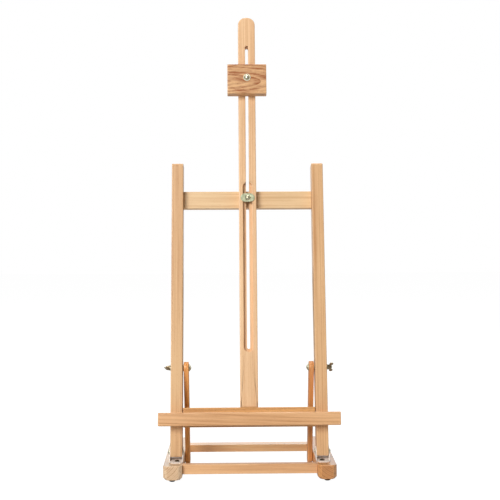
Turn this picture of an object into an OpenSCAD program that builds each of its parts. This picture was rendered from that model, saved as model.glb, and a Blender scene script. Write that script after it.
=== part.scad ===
/* [View] */
// Which sub-part to draw, or all of them

/* [Base] */
// Length of each side rail, front to back
rail_l = 270; // [250:1:330]
// Width of each side rail
rail_w = 33.8; // [32:0.1:42]
// Height of each side rail
rail_h = 25; // [22:0.5:32]
// Distance between the inner faces of the side rails
rail_gap = 241.4; // [200:0.1:300]
// Chamfer on the upright corners of a rail's ends
rail_nose = 6; // [1:0.5:8]
// Cut along the lower edges of a rail
rail_under = 4; // [1:0.5:5]
// Cut under the front and rear ends of a rail
rail_toe = 1; // [1:0.5:8]
// Depth of the front base crossbar, front to back
front_bar_d = 14; // [12:0.5:18]
// Height of the front base crossbar
front_bar_h = 17.5; // [14:0.5:20]
// Setback of the front crossbar from the rails' front ends
bar_front = 15; // [12:0.5:20]
// Depth of the rear base crossbar, front to back
bar_d = 26; // [20:1:30]
// Height of the rear base crossbar
bar_h = 14; // [12:0.5:18]
// Front face of the rear crossbar, measured from the rails' front ends
bar_rear = 190; // [190:1:215]
// Rubber foot diameter
foot_d = 12.5; // [12:0.5:20]
// Rubber foot height
foot_h = 6; // [6:0.5:12]
// Foot centre from each end of a rail
foot_in = 20; // [15:1:30]
// Foot centre from a rail's inner face
foot_x = 18.4; // [14:0.1:20]

/* [Frame] */
// Lean of the frame from upright, at its steepest working setting
lean = 10.8; // [8:0.1:14]
// Further lean that the struts allow
lean_range = 30; // [20:1:30]
// Pivot of the uprights, measured from the rails' front ends
pivot_in = 60; // [50:1:70]
// Upright width, side to side
post_w = 21.7; // [20:0.1:28]
// Upright depth, front to back
post_d = 32; // [30:0.5:40]
// Upright length above its pivot
post_l = 541; // [500:1:640]
// Radius of the lower end that turns in the bracket
post_end = 12; // [10:0.5:14]
// Flat lower end of the uprights, below their pivot
post_foot = 8.5; // [7:0.5:9]
// Rounding of the uprights' top edges
post_round = 5; // [2:0.5:8]
// Gap between an upright's inner face and the rail's inner face plane
post_set = 1.6; // [1.5:0.1:2.5]
// Height of the upper crossbar
top_bar_h = 33; // [28:0.5:40]
// Centre of the upper crossbar above the pivot
top_bar_s = 472.8; // [440:0.2:500]
// Thickness of the tray's rear board
board_t = 18; // [16:0.5:20]
// Height of the tray's rear board
board_h = 35.4; // [30:0.2:40]
// Top of the rear board above the pivot
board_s = 79.3; // [76:0.1:90]
// Gap between the rear board's ends and the uprights
board_gap = 1.5; // [1:0.1:3]
// Length of the tray lip
lip_l = 330; // [310:1:420]
// Depth of the tray lip, front to back
lip_d = 26; // [20:0.5:32]
// Height of the tray lip
lip_h = 24; // [20:0.5:28]
// Lip top below the rear board's top
lip_drop = 9.3; // [5:0.1:10]
// Rounding of the lip's long front edges
lip_round = 3; // [1:0.5:4]

/* [Mast] */
// Mast width
mast_w = 33; // [30:0.5:40]
// Mast thickness
mast_t = 18; // [16:0.5:18]
// Mast length
mast_l = 755.7; // [700:0.1:900]
// Corner radius of the mast's top end
mast_round = 15; // [8:0.5:15]
// Width of the slot right through the mast
slot_w = 5.8; // [5.7:0.1:6.4]
// Lower end of the through slot above the mast's foot
slot_lo = 107; // [107:1:120]
// Upper end of the through slot below the mast's top
slot_hi = 58.7; // [50:0.1:80]
// Width of the front groove
groove_w = 17.4; // [14:0.1:18]
// Depth of the front groove
groove_d = 8; // [6:0.5:9]
// Lower end of the front groove above the mast's foot
groove_lo = 101; // [98:1:105]
// Upper end of the front groove above the mast's foot
groove_hi = 424; // [420:1:440]
// Clamp block width
block_w = 75; // [60:0.5:90]
// Clamp block height
block_h = 59; // [50:0.5:70]
// Clamp block thickness
block_t = 18; // [14:0.5:24]
// Clamp block centre above the pivot
block_s = 703; // [690:0.5:720]
// Clamp bolt above the block's centre
block_bolt = 2.6; // [0:0.1:6]

/* [Struts] */
// Strut width
strut_w = 23; // [20:0.5:26]
// Strut thickness
strut_t = 9; // [8:0.5:13]
// Strut pivot, measured from the rails' front ends
strut_in = 138; // [130:1:150]
// Strut bolt above the uprights' pivot
strut_s = 153; // [145:0.5:165]
// Clearance on each side of the bolt in the strut's slot
strut_slack = 1.3; // [1.2:0.05:1.4]
// Lower end of the strut's slot above the strut's pivot
strut_slot = 56; // [40:1:90]

/* [Hardware] */
// Bolt diameter at the pivots and struts
bolt_d = 6; // [5:0.5:6]
// Bolt diameter at the mast and clamp block
mast_bolt_d = 5; // [4:0.5:5]
// Thickness of the bracket's steel
plate_t = 1.2; // [1:0.1:1.4]
// Length of the bracket's base plate ahead of the pivot
plate_front = 35; // [30:1:46]
// Length of the bracket's base plate behind the pivot
plate_rear = 32; // [30:1:40]
// Washer thickness
washer_t = 1.2; // [1:0.1:1.4]
// Clearance between pieces that move past each other
gap = 0.3; // [0.2:0.05:0.4]
// Radial running clearance of a shaft in its hole
fit = 0.05; // [0.02:0.01:0.1]
// Turn of the left strut's wing nut from upright
strut_turn_left = 90; // [0:5:180]
// Turn of the right strut's wing nut from upright
strut_turn_right = 60; // [0:5:180]

/* [Hidden] */
$fn = 48;
eps = 0.01;
front_y = -rail_l / 2;
rail_x = rail_gap / 2;
rail_top = foot_h + rail_h;
foot_cx = rail_x + foot_x;
post_x = rail_x + post_set;
post_out = post_x + post_w;
pivot_y = front_y + pivot_in;
plate_top = rail_top + plate_t;
pivot_z = plate_top + gap + post_end;
front_n = -post_d / 2;
back_n = post_d / 2;
mast_back = front_n + mast_t;
top_bar_t = back_n - mast_back - gap;
board_w = 2 * (post_x - board_gap);
mast_foot = board_s + gap;
strut_out = rail_x - gap;
strut_face = strut_out - strut_t;
strut_y = front_y + strut_in;
strut_z = foot_h + rail_h / 2;
slot_clear = bolt_d / 2 + strut_slack;
function bolt_y(a) = pivot_y + strut_s * sin(a);
function bolt_z(a) = pivot_z + strut_s * cos(a);
function strut_angle(a) = atan2(strut_y - bolt_y(a), bolt_z(a) - strut_z);
function strut_reach(a) = norm([strut_y - bolt_y(a), bolt_z(a) - strut_z]);
strut_bow = strut_angle(lean + lean_range / 2)
    - (strut_angle(lean) + strut_angle(lean + lean_range)) / 2;
strut_tilt = strut_angle(lean) + strut_bow / 2;
strut_top = strut_reach(lean);
ear_in = post_x - 0.2 - plate_t;
ear_out = post_out + 0.2 + plate_t;
screw_y = pivot_y - plate_front + 13;
screw_back_y = pivot_y + plate_rear - 8;
lip_top = board_s - lip_drop;
lip_mid = lip_top - lip_h / 2;
board_screw_x = 75;
dowel_d = 6;
dowel_rail = 7;
dowel_bar = 19;
dowel_end = 0.5;
bar_dowel_y = 6.5;
post_dowel = 14;
top_dowel_s = 8.5;
edge = 0.8;
ear_r = 9;
ear_foot = 10;
screw_shift = 2;
nut_h = 1.8;
nut_seat = 0.8;
pivot_head_r = 5.3;
pivot_head_h = 3.4;
flush_r = 5.6;
flush_h = 2.6;
strut_head_r = 5.8;
strut_head_h = 3.2;
strut_washer_r = 6.6;
small_head_r = 5.2;
small_head_h = 3.2;
small_washer_r = 7;
cap_h = 3;
cap_r = 4.6;
clamp_plate_w = 26.6;
clamp_plate_h = 16.2;
clamp_plate_t = 1.6;
clamp_key_h = 12;
clamp_key_d = 5;
clamp_key_gap = 0.5;
screw_r = 2.25;
screw_head_r = 4.2;
screw_head_h = 2.6;
screw_grip = 16;
lip_grip = 12;
foot_screw_r = 1.75;
foot_head_r = 2.6;
foot_head_h = 1.6;
foot_seat = 1.2;
foot_round = 2.5;
slot_cut_d = 1.2;
slot_cut_w = 1;
hub_h = 7.6;
hub_low_r = 4.9;
hub_top_r = 3.8;
wing_t = 2.4;
wing_tip = [10.2, 7.6];
wing_r = 3.6;
tail = 1.5;
nut_turn = 30;

module at_frame() translate([0, pivot_y, pivot_z]) rotate([-lean, 0, 0]) children();

module at_strut() translate([0, strut_y, strut_z]) rotate([strut_tilt, 0, 0]) children();

module side(s) mirror([s < 0 ? 1 : 0, 0, 0]) children();

module both_sides() for (s = [-1, 1]) side(s) children();

// A round bar along X from x0 to x1
module across(r, x0, x1) translate([x0, 0, 0]) rotate([0, 90, 0]) cylinder(r = r, h = x1 - x0);

// A round bar along Y from y0 to y1
module along(r, y0, y1) translate([0, y0, 0]) rotate([-90, 0, 0]) cylinder(r = r, h = y1 - y0);

// Turns a shape drawn along +Z so that it runs along +X or -X, or towards the front or back
module to_right() rotate([0, 90, 0]) children();

module to_left() rotate([0, -90, 0]) children();

module to_front() rotate([90, 0, 0]) children();

module to_back() rotate([-90, 0, 0]) children();

// A rectangle with its lower corners cut by c and its upper corners cut by d
module cut_rect(a, b, c, d) polygon([[c, 0], [a - c, 0], [a, c], [a, b - d], [a - d, b],
    [d, b], [0, b - d], [0, c]]);

// A slot outline, upright, between two end centres
module slot(r, y0, y1) {
    translate([0, y0]) circle(r);
    translate([0, y1]) circle(r);
    translate([-r, y0]) square([2 * r, y1 - y0]);
}

// Extrudes a Y-Z outline along X
module extrude_x(x0, x1) translate([x0, 0, 0]) rotate([90, 0, 90]) linear_extrude(x1 - x0) children();

// Extrudes an X-Z outline along Y
module extrude_y(y0, y1) translate([0, y1, 0]) rotate([90, 0, 0]) linear_extrude(y1 - y0) children();

// A straight piece of timber with every edge eased
module timber(v, e = edge) intersection() {
    linear_extrude(v[2]) cut_rect(v[0], v[1], e, e);
    extrude_x(0, v[0]) cut_rect(v[1], v[2], e, e);
    extrude_y(0, v[1]) cut_rect(v[0], v[2], e, e);
}

// A low domed head on the plane z = 0
module dome(r, h) {
    ball = (r * r + h * h) / (2 * h);
    intersection() {
        translate([0, 0, h - ball]) sphere(ball);
        cylinder(r = r, h = h);
    }
}

module washer(r, hole, t = washer_t) difference() {
    cylinder(r = r, h = t);
    translate([0, 0, -eps]) cylinder(r = hole, h = t + 2 * eps);
}

// The cross cut into a screw's head, from its face downwards
module cross_cut(r) for (a = [0, 90]) rotate([0, 0, a])
    translate([-r, -slot_cut_w / 2, -slot_cut_d]) cube([2 * r, slot_cut_w, slot_cut_d + eps]);

// A countersunk wood screw, head face on z = 0, running down
module flat_screw_body(l, r, head_r, head_h) {
    translate([0, 0, -head_h]) cylinder(r1 = r, r2 = head_r, h = head_h);
    translate([0, 0, -l + 2 * r]) cylinder(r = r, h = l - 2 * r - head_h);
    translate([0, 0, -l]) cylinder(r1 = r / 3, r2 = r, h = 2 * r);
}

module flat_screw(l, r, head_r, head_h) difference() {
    flat_screw_body(l, r, head_r, head_h);
    cross_cut(head_r * 0.6);
}

// A wing nut seated on z = 0
module wing_nut(hole) difference() {
    union() {
        cylinder(r1 = hub_low_r, r2 = hub_top_r, h = hub_h);
        for (a = [0, 180]) rotate([0, 0, a]) extrude_y(-wing_t / 2, wing_t / 2) {
            polygon([[hole, edge], [hub_low_r + 1, edge], [wing_tip[0] + wing_r * 0.8,
                wing_tip[1] - wing_r * 0.6], [wing_tip[0] - wing_r * 0.6, wing_tip[1] + wing_r * 0.8],
                [hole, hub_h - edge]]);
            translate(wing_tip) circle(wing_r);
        }
    }
    translate([0, 0, -eps]) cylinder(r = hole, h = hub_h + 2 * eps);
    translate([0, 0, hub_h]) cylinder(r = hole, h = wing_tip[1]);
}

// Base

module rail_blank() translate([rail_x, front_y, foot_h]) intersection() {
    linear_extrude(rail_h) cut_rect(rail_w, rail_l, rail_nose, rail_nose);
    extrude_x(0, rail_w) cut_rect(rail_l, rail_h, rail_toe, edge);
    extrude_y(0, rail_l) cut_rect(rail_w, rail_h, rail_under, edge);
}

module bar_dowel_places() {
    translate([0, front_y + bar_front + front_bar_d / 2, rail_top - front_bar_h / 2]) children();
    for (d = [-bar_dowel_y, bar_dowel_y])
        translate([0, front_y + bar_rear + bar_d / 2 + d, rail_top - bar_h / 2]) children();
}

module foot_places() for (y = [front_y + foot_in, front_y + rail_l - foot_in])
    translate([foot_cx, y, 0]) children();

module bracket_screw_places() for (y = [screw_y, screw_back_y])
    translate([post_x + post_w / 2 - screw_shift, y, plate_top]) children();

module base_rail() difference() {
    rail_blank();
    bar_dowel_places() across(dowel_d / 2, rail_x - eps, rail_x + dowel_rail + dowel_end);
    foot_places() translate([0, 0, foot_h - eps])
        cylinder(r = foot_screw_r, h = screw_grip + eps);
    bracket_screw_places() translate([0, 0, -screw_grip]) cylinder(r = screw_r, h = screw_grip);
    translate([0, strut_y, strut_z]) across(bolt_d / 2, rail_x - eps, rail_x + screw_grip);
}

module base_rail_left() color([0.87, 0.71, 0.55]) side(-1) base_rail();

module base_rail_right() color([0.84, 0.66, 0.47]) side(1) base_rail();

module base_bar(y0, d, h) difference() {
    translate([-rail_x, front_y + y0, rail_top - h]) timber([2 * rail_x, d, h]);
    both_sides() bar_dowel_places() across(dowel_d / 2, rail_x - dowel_bar - dowel_end, rail_x + eps);
}

module front_crossbar() color([0.85, 0.64, 0.43]) base_bar(bar_front, front_bar_d, front_bar_h);

module rear_crossbar() color([0.82, 0.6, 0.4]) base_bar(bar_rear, bar_d, bar_h);

module base_dowels() color([0.88, 0.75, 0.58]) both_sides() bar_dowel_places()
    across(dowel_d / 2, rail_x - dowel_bar, rail_x + dowel_rail);

module rubber_feet() color([0.16, 0.15, 0.14]) both_sides() foot_places() difference() {
    rotate_extrude() {
        square([foot_d / 2 - foot_round, foot_h]);
        translate([0, foot_round]) square([foot_d / 2, foot_h - foot_round]);
        translate([foot_d / 2 - foot_round, foot_round]) circle(foot_round);
    }
    translate([0, 0, -eps]) cylinder(r = foot_head_r, h = foot_seat + eps);
    translate([0, 0, foot_seat]) cylinder(r1 = foot_head_r, r2 = foot_screw_r, h = foot_head_h);
    cylinder(r = foot_screw_r, h = foot_h + eps);
}

module foot_screws() color([0.62, 0.6, 0.55]) both_sides() foot_places()
    translate([0, 0, foot_seat]) rotate([180, 0, 0])
    flat_screw(foot_h - foot_seat + screw_grip, foot_screw_r, foot_head_r, foot_head_h);

// Brackets: a base plate and two ears, all from one bent steel strip

function tangent_angle(p, r, way) = atan2(p[1], p[0]) + way * acos(r / norm(p));

module ear_outline() {
    low = rail_top - pivot_z;
    front_foot = [-plate_front + ear_foot, low];
    back_foot = [plate_rear - ear_foot, low];
    a = tangent_angle(front_foot, ear_r, -1);
    b = tangent_angle(back_foot, ear_r, 1);
    circle(ear_r);
    inner = 0.93 * ear_r;
    polygon([front_foot, back_foot, [inner * cos(b), inner * sin(b)], [inner * cos(a), inner * sin(a)]]);
}

module bracket() difference() {
    union() {
        translate([ear_in, pivot_y - plate_front, rail_top])
            cube([ear_out - ear_in, plate_front + plate_rear, plate_t]);
        translate([0, pivot_y, pivot_z]) {
            extrude_x(ear_in, ear_in + plate_t) ear_outline();
            extrude_x(ear_out - plate_t, ear_out) ear_outline();
        }
    }
    translate([0, pivot_y, pivot_z]) across(bolt_d / 2, ear_in - eps, ear_out + eps);
    bracket_screw_places() translate([0, 0, -plate_t - eps]) cylinder(r = screw_r, h = plate_t + 2 * eps);
}

module bracket_left() color([0.8, 0.78, 0.7]) side(-1) bracket();

module bracket_right() color([0.8, 0.78, 0.7]) side(1) bracket();

module bracket_screws() color([0.3, 0.26, 0.2]) both_sides() bracket_screw_places() {
    difference() {
        dome(cap_r, cap_h);
        translate([0, 0, cap_h]) cross_cut(cap_r * 0.5);
    }
    translate([0, 0, -screw_grip]) cylinder(r = screw_r, h = screw_grip);
}

module pivot_bolts() color([0.75, 0.74, 0.62]) both_sides() translate([0, pivot_y, pivot_z]) {
    across(bolt_d / 2, ear_in - nut_seat, ear_out);
    translate([ear_out, 0, 0]) to_right() dome(pivot_head_r, pivot_head_h);
}

module pivot_nuts() color([0.75, 0.74, 0.62]) both_sides() translate([ear_in, pivot_y, pivot_z])
    to_left() difference() {
        dome(pivot_head_r, nut_h);
        translate([0, 0, -eps]) cylinder(r = bolt_d / 2, h = nut_seat + eps);
    }

module strut_pivot_screws() color([0.72, 0.7, 0.6]) both_sides() translate([strut_face, strut_y, strut_z])
    to_left() difference() {
        union() {
            translate([0, 0, -flush_h]) cylinder(r1 = bolt_d / 2, r2 = flush_r, h = flush_h);
            translate([0, 0, strut_face - rail_x - screw_grip])
                cylinder(r = bolt_d / 2, h = rail_x + screw_grip - strut_face - flush_h / 2);
        }
        cross_cut(flush_r * 0.6);
    }

// Frame: everything here is drawn along the leaning uprights, from their pivot

module post_outline() {
    heel = post_foot - 0.5;
    translate([post_end - heel, heel - post_foot]) circle(heel);
    polygon([[front_n, -post_foot], [post_end - heel, -post_foot], [post_end, heel - post_foot],
        [post_end, 0], [back_n, post_end / 2], [back_n, post_l - post_round],
        [front_n, post_l - post_round]]);
    translate([front_n + post_round, post_l - 2 * post_round])
        square([post_d - 2 * post_round, 2 * post_round]);
    for (n = [front_n + post_round, back_n - post_round])
        translate([n, post_l - post_round]) circle(post_round);
}

module crossbar_dowel_places() for (d = [-top_dowel_s, top_dowel_s])
    translate([0, back_n - top_bar_t / 2, top_bar_s + d]) children();

module lip_screw_place() translate([post_x + post_w / 2, back_n, lip_mid]) to_back() children();

module upright() at_frame() difference() {
    intersection() {
        extrude_x(post_x, post_out) post_outline();
        translate([post_x, front_n, -post_end]) linear_extrude(post_l + post_end)
            cut_rect(post_w, post_d, edge, edge);
    }
    across(bolt_d / 2 + fit, post_x - eps, post_out + eps);
    translate([0, 0, strut_s]) across(bolt_d / 2, post_x - eps, post_out + eps);
    crossbar_dowel_places() across(dowel_d / 2, post_x - eps, post_x + post_dowel + dowel_end);
    lip_screw_place() flat_screw_body(post_d + lip_grip, screw_r, screw_head_r, screw_head_h);
}

module upright_left() color([0.87, 0.7, 0.53]) side(-1) upright();

module upright_right() color([0.87, 0.69, 0.52]) side(1) upright();

module upper_crossbar() color([0.9, 0.76, 0.58]) at_frame() difference() {
    translate([-post_x, mast_back + gap, top_bar_s - top_bar_h / 2])
        timber([2 * post_x, top_bar_t, top_bar_h]);
    translate([0, 0, top_bar_s]) along(mast_bolt_d / 2, mast_back, back_n + eps);
    both_sides() crossbar_dowel_places()
        across(dowel_d / 2, post_x - dowel_bar - dowel_end, post_x + eps);
}

module crossbar_dowels() color([0.88, 0.75, 0.58]) at_frame() both_sides() crossbar_dowel_places()
    across(dowel_d / 2, post_x - dowel_bar, post_x + post_dowel);

module board_screw_places() for (x = [-board_screw_x, 0, board_screw_x])
    translate([x, front_n + board_t, lip_mid]) to_back() children();

module tray_board() color([0.86, 0.63, 0.41]) at_frame() difference() {
    translate([-board_w / 2, front_n, board_s - board_h]) timber([board_w, board_t, board_h]);
    board_screw_places() flat_screw_body(board_t + lip_grip, screw_r, screw_head_r, screw_head_h);
}

module lip_outline() {
    translate([front_n - lip_d + lip_round, lip_top - lip_h]) square([lip_d - lip_round, lip_h]);
    translate([front_n - lip_d, lip_top - lip_h + lip_round]) square([lip_round, lip_h - 2 * lip_round]);
    for (s = [lip_top - lip_round, lip_top - lip_h + lip_round])
        translate([front_n - lip_d + lip_round, s]) circle(lip_round);
}

module tray_lip() color([0.86, 0.63, 0.42]) at_frame() difference() {
    intersection() {
        extrude_x(-lip_l / 2, lip_l / 2) lip_outline();
        translate([-lip_l / 2, front_n - lip_d, lip_top - lip_h]) timber([lip_l, lip_d, lip_h]);
    }
    both_sides() lip_screw_place()
        flat_screw_body(post_d + lip_grip, screw_r, screw_head_r, screw_head_h);
    board_screw_places() flat_screw_body(board_t + lip_grip, screw_r, screw_head_r, screw_head_h);
}

module lip_screws() color([0.62, 0.6, 0.55]) at_frame() both_sides() lip_screw_place()
    flat_screw(post_d + lip_grip, screw_r, screw_head_r, screw_head_h);

module board_screws() color([0.62, 0.6, 0.55]) at_frame() board_screw_places()
    flat_screw(board_t + lip_grip, screw_r, screw_head_r, screw_head_h);

// The bolt that clamps the mast to the upper crossbar

module at_mast_bolt() at_frame() translate([0, 0, top_bar_s]) children();

module mast_bolt() color([0.76, 0.76, 0.66]) at_mast_bolt() {
    along(mast_bolt_d / 2, front_n - gap - clamp_plate_t, back_n + washer_t + gap + hub_h + tail);
    translate([0, front_n - gap - clamp_plate_t, 0]) to_front() dome(small_head_r, small_head_h);
}

module mast_clamp_plate() color([0.8, 0.79, 0.66]) at_mast_bolt() difference() {
    union() {
        extrude_y(front_n - gap - clamp_plate_t, front_n - gap) {
            r = clamp_plate_h / 2;
            for (x = [r - clamp_plate_w / 2, clamp_plate_w / 2 - r]) translate([x, 0]) circle(r);
            translate([r - clamp_plate_w / 2, -r]) square([clamp_plate_w - 2 * r, 2 * r]);
        }
        translate([clamp_key_gap - groove_w / 2, front_n - gap - eps, -clamp_key_h / 2])
            cube([groove_w - 2 * clamp_key_gap, clamp_key_d + eps, clamp_key_h]);
    }
    along(mast_bolt_d / 2, front_n - gap - clamp_plate_t - eps, front_n - gap + clamp_key_d + eps);
}

module mast_washer() color([0.78, 0.76, 0.68]) at_mast_bolt() translate([0, back_n, 0])
    to_back() washer(small_washer_r, mast_bolt_d / 2);

module mast_wing_nut() color([0.55, 0.5, 0.4]) at_mast_bolt()
    translate([0, back_n + washer_t + gap, 0]) to_back() rotate([0, 0, nut_turn])
    wing_nut(mast_bolt_d / 2 + fit);

// Mast

module mast_outline() {
    translate([-mast_w / 2, mast_foot]) square([mast_w, mast_l - mast_round]);
    translate([mast_round - mast_w / 2, mast_foot]) square([mast_w - 2 * mast_round, mast_l]);
    for (x = [mast_round - mast_w / 2, mast_w / 2 - mast_round])
        translate([x, mast_foot + mast_l - mast_round]) circle(mast_round);
}

module mast() color([0.92, 0.76, 0.58]) at_frame() difference() {
    intersection() {
        extrude_y(front_n, mast_back) mast_outline();
        translate([-mast_w / 2, front_n, mast_foot]) timber([mast_w, mast_t, mast_l]);
    }
    extrude_y(front_n - eps, mast_back + eps) slot(slot_w / 2, mast_foot + slot_lo + slot_w / 2,
        mast_foot + mast_l - slot_hi - slot_w / 2);
    extrude_y(front_n - eps, front_n + groove_d) slot(groove_w / 2,
        mast_foot + groove_lo + groove_w / 2, mast_foot + groove_hi - groove_w / 2);
}

// Clamp block that holds the top of a canvas

block_face = front_n - gap - block_t;
clamp_back = mast_back + gap;

module at_block() at_frame() translate([0, 0, block_s + block_bolt]) children();

module clamp_block() color([0.8, 0.6, 0.42]) at_block() difference() {
    translate([-block_w / 2, block_face, -block_h / 2 - block_bolt]) timber([block_w, block_t, block_h]);
    along(mast_bolt_d / 2, block_face - eps, front_n);
}

module clamp_bolt() color([0.76, 0.76, 0.66]) at_block() {
    along(mast_bolt_d / 2, block_face - washer_t, clamp_back + washer_t + gap + hub_h + tail);
    translate([0, block_face - washer_t, 0]) to_front() dome(small_head_r, small_head_h);
}

module clamp_face_washer() color([0.86, 0.86, 0.8]) at_block() translate([0, block_face, 0])
    to_front() washer(small_washer_r, mast_bolt_d / 2);

module clamp_back_washer() color([0.78, 0.76, 0.68]) at_block() translate([0, clamp_back, 0])
    to_back() washer(small_washer_r, mast_bolt_d / 2);

module clamp_wing_nut() color([0.55, 0.5, 0.4]) at_block()
    translate([0, clamp_back + washer_t + gap, 0]) to_back() rotate([0, 0, -nut_turn])
    wing_nut(mast_bolt_d / 2 + fit);

// Struts, drawn along their own length from their lower pivot

module strut() at_strut() difference() {
    intersection() {
        extrude_x(strut_face, strut_out) slot(strut_w / 2, 0, strut_top);
        translate([strut_face, -strut_w / 2, -strut_w / 2])
            linear_extrude(strut_top + strut_w) cut_rect(strut_t, strut_w, edge, edge);
    }
    across(bolt_d / 2 + fit, strut_face - eps, strut_out + eps);
    translate([strut_face, 0, 0]) to_right()
        cylinder(r1 = flush_r + fit, r2 = bolt_d / 2 + fit, h = flush_h + fit);
    extrude_x(strut_face - eps, strut_out + eps) slot(slot_clear, strut_slot, strut_top);
}

module strut_left() color([0.7, 0.5, 0.32]) side(-1) strut();

module strut_right() color([0.76, 0.5, 0.3]) side(1) strut();

module at_strut_bolt() at_frame() translate([0, 0, strut_s]) children();

module strut_bolts() color([0.75, 0.74, 0.62]) at_strut_bolt() both_sides() {
    head = strut_face - gap - washer_t;
    across(bolt_d / 2, head, post_out + washer_t + gap + hub_h + tail);
    translate([head, 0, 0]) to_left() dome(strut_head_r, strut_head_h);
}

module strut_head_washers() color([0.78, 0.76, 0.68]) at_strut_bolt() both_sides()
    translate([strut_face - gap, 0, 0]) to_left() washer(strut_washer_r, bolt_d / 2);

module strut_spacers() color([0.78, 0.76, 0.68]) at_strut_bolt() both_sides()
    translate([strut_out + gap, 0, 0]) to_right()
    washer(strut_washer_r, bolt_d / 2, post_x - strut_out - gap);

module strut_nut_washers() color([0.78, 0.76, 0.68]) at_strut_bolt() both_sides()
    translate([post_out, 0, 0]) to_right() washer(strut_washer_r, bolt_d / 2);

module strut_wing_nut(turn) at_strut_bolt() translate([post_out + washer_t + gap, 0, 0])
    to_right() rotate([0, 0, turn]) wing_nut(bolt_d / 2 + fit);

module strut_wing_nut_left() color([0.5, 0.47, 0.4]) side(-1) strut_wing_nut(strut_turn_left);

module strut_wing_nut_right() color([0.5, 0.47, 0.4]) side(1) strut_wing_nut(strut_turn_right);

base_rail_left();
base_rail_right();
front_crossbar();
rear_crossbar();
base_dowels();
rubber_feet();
foot_screws();
bracket_left();
bracket_right();
bracket_screws();
pivot_bolts();
pivot_nuts();
strut_pivot_screws();
upright_left();
upright_right();
upper_crossbar();
crossbar_dowels();
tray_board();
tray_lip();
lip_screws();
board_screws();
mast_bolt();
mast_clamp_plate();
mast_washer();
mast_wing_nut();
mast();
clamp_block();
clamp_bolt();
clamp_face_washer();
clamp_back_washer();
clamp_wing_nut();
strut_left();
strut_right();
strut_bolts();
strut_head_washers();
strut_spacers();
strut_nut_washers();
strut_wing_nut_left();
strut_wing_nut_right();
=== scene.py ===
import math

import bmesh
import bpy
import numpy as np
from mathutils import Euler, Matrix, Vector


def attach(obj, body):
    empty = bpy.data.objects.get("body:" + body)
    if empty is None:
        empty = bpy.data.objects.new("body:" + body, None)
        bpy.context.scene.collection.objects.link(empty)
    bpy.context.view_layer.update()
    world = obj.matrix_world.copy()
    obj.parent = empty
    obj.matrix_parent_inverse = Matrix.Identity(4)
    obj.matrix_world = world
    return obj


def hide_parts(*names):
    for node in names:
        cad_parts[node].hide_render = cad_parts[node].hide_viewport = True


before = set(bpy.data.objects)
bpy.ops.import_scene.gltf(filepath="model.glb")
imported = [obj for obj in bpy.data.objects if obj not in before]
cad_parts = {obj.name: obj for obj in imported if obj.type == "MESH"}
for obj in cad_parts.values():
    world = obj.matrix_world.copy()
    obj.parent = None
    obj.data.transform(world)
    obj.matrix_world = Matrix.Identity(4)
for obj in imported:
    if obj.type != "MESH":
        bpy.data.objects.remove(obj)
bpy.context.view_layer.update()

# The camera stands a little left of the easel, at half its height, 1.8 m in front of the base rails,
# and looks almost level. Its long lens takes in the whole easel.
camera_place = (-0.02898, -1.935, 0.42815)
camera_turn, camera_dip, camera_roll = -0.01707, 0.00808, -0.00483
camera_sensor, camera_lens = 36.0, 73.27872
camera_near, camera_far = 0.05, 60.0
camera_data = bpy.data.cameras.new("camera")
camera_data.sensor_width = camera_sensor
camera_data.lens = camera_lens
camera_data.clip_start = camera_near
camera_data.clip_end = camera_far
camera = bpy.data.objects.new("camera", camera_data)
camera.matrix_world = (
    Matrix.Translation(camera_place)
    @ Matrix.Rotation(camera_turn, 4, "Z")
    @ Matrix.Rotation(math.pi / 2 - camera_dip, 4, "X")
    @ Matrix.Rotation(camera_roll, 4, "Z")
)
bpy.context.scene.collection.objects.link(camera)
bpy.context.scene.camera = camera
bpy.context.scene.view_settings.view_transform = "Standard"

# The studio: a wide soft lamp high in front on the left, a weaker one overhead, and a faint sky that is
# brighter behind the easel than in front. The camera sees the sky white, and what is glossy mirrors a
# brighter one.
key_place, key_aim, key_size, key_power = (-1.88, -4.2, 2.55), (0.0, 0.0, 0.35), (2.3, 2.6), 218.0
top_place, top_aim, top_size, top_power = (0.0, 0.5, 2.6), (0.0, 0.0, 0.2), (2.0, 1.6), 40.0
sky_front, sky_back = 0.04, 0.12
gloss_front, gloss_back = 0.35, 1.0
white = (1.0, 1.0, 1.0, 1.0)


def soft_lamp(name, place, aim, size, power):
    """A rectangular lamp at a place, turned so that it shines at the aim."""
    data = bpy.data.lights.new(name, "AREA")
    data.shape = "RECTANGLE"
    data.size, data.size_y = size
    data.energy = power
    lamp = bpy.data.objects.new(name, data)
    way = (Vector(aim) - Vector(place)).to_track_quat("-Z", "Y")
    lamp.matrix_world = Matrix.Translation(place) @ way.to_matrix().to_4x4()
    bpy.context.scene.collection.objects.link(lamp)
    return lamp


soft_lamp("key_lamp", key_place, key_aim, key_size, key_power)
soft_lamp("top_lamp", top_place, top_aim, top_size, top_power)


def add(tree, kind, inputs=None, **settings):
    """One node in a tree: settings are its options, and inputs its values or the sockets that feed it,
    by the input's name or by its number."""
    made = tree.nodes.new(kind)
    for key, value in settings.items():
        setattr(made, key, value)
    for key, value in (inputs or {}).items():
        if isinstance(value, bpy.types.NodeSocket):
            tree.links.new(value, made.inputs[key])
        else:
            made.inputs[key].default_value = value
    return made


def blank_tree(holder):
    """The node tree of a material or a sky, with no nodes in it."""
    holder.use_nodes = True
    holder.node_tree.nodes.clear()
    return holder.node_tree


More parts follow.
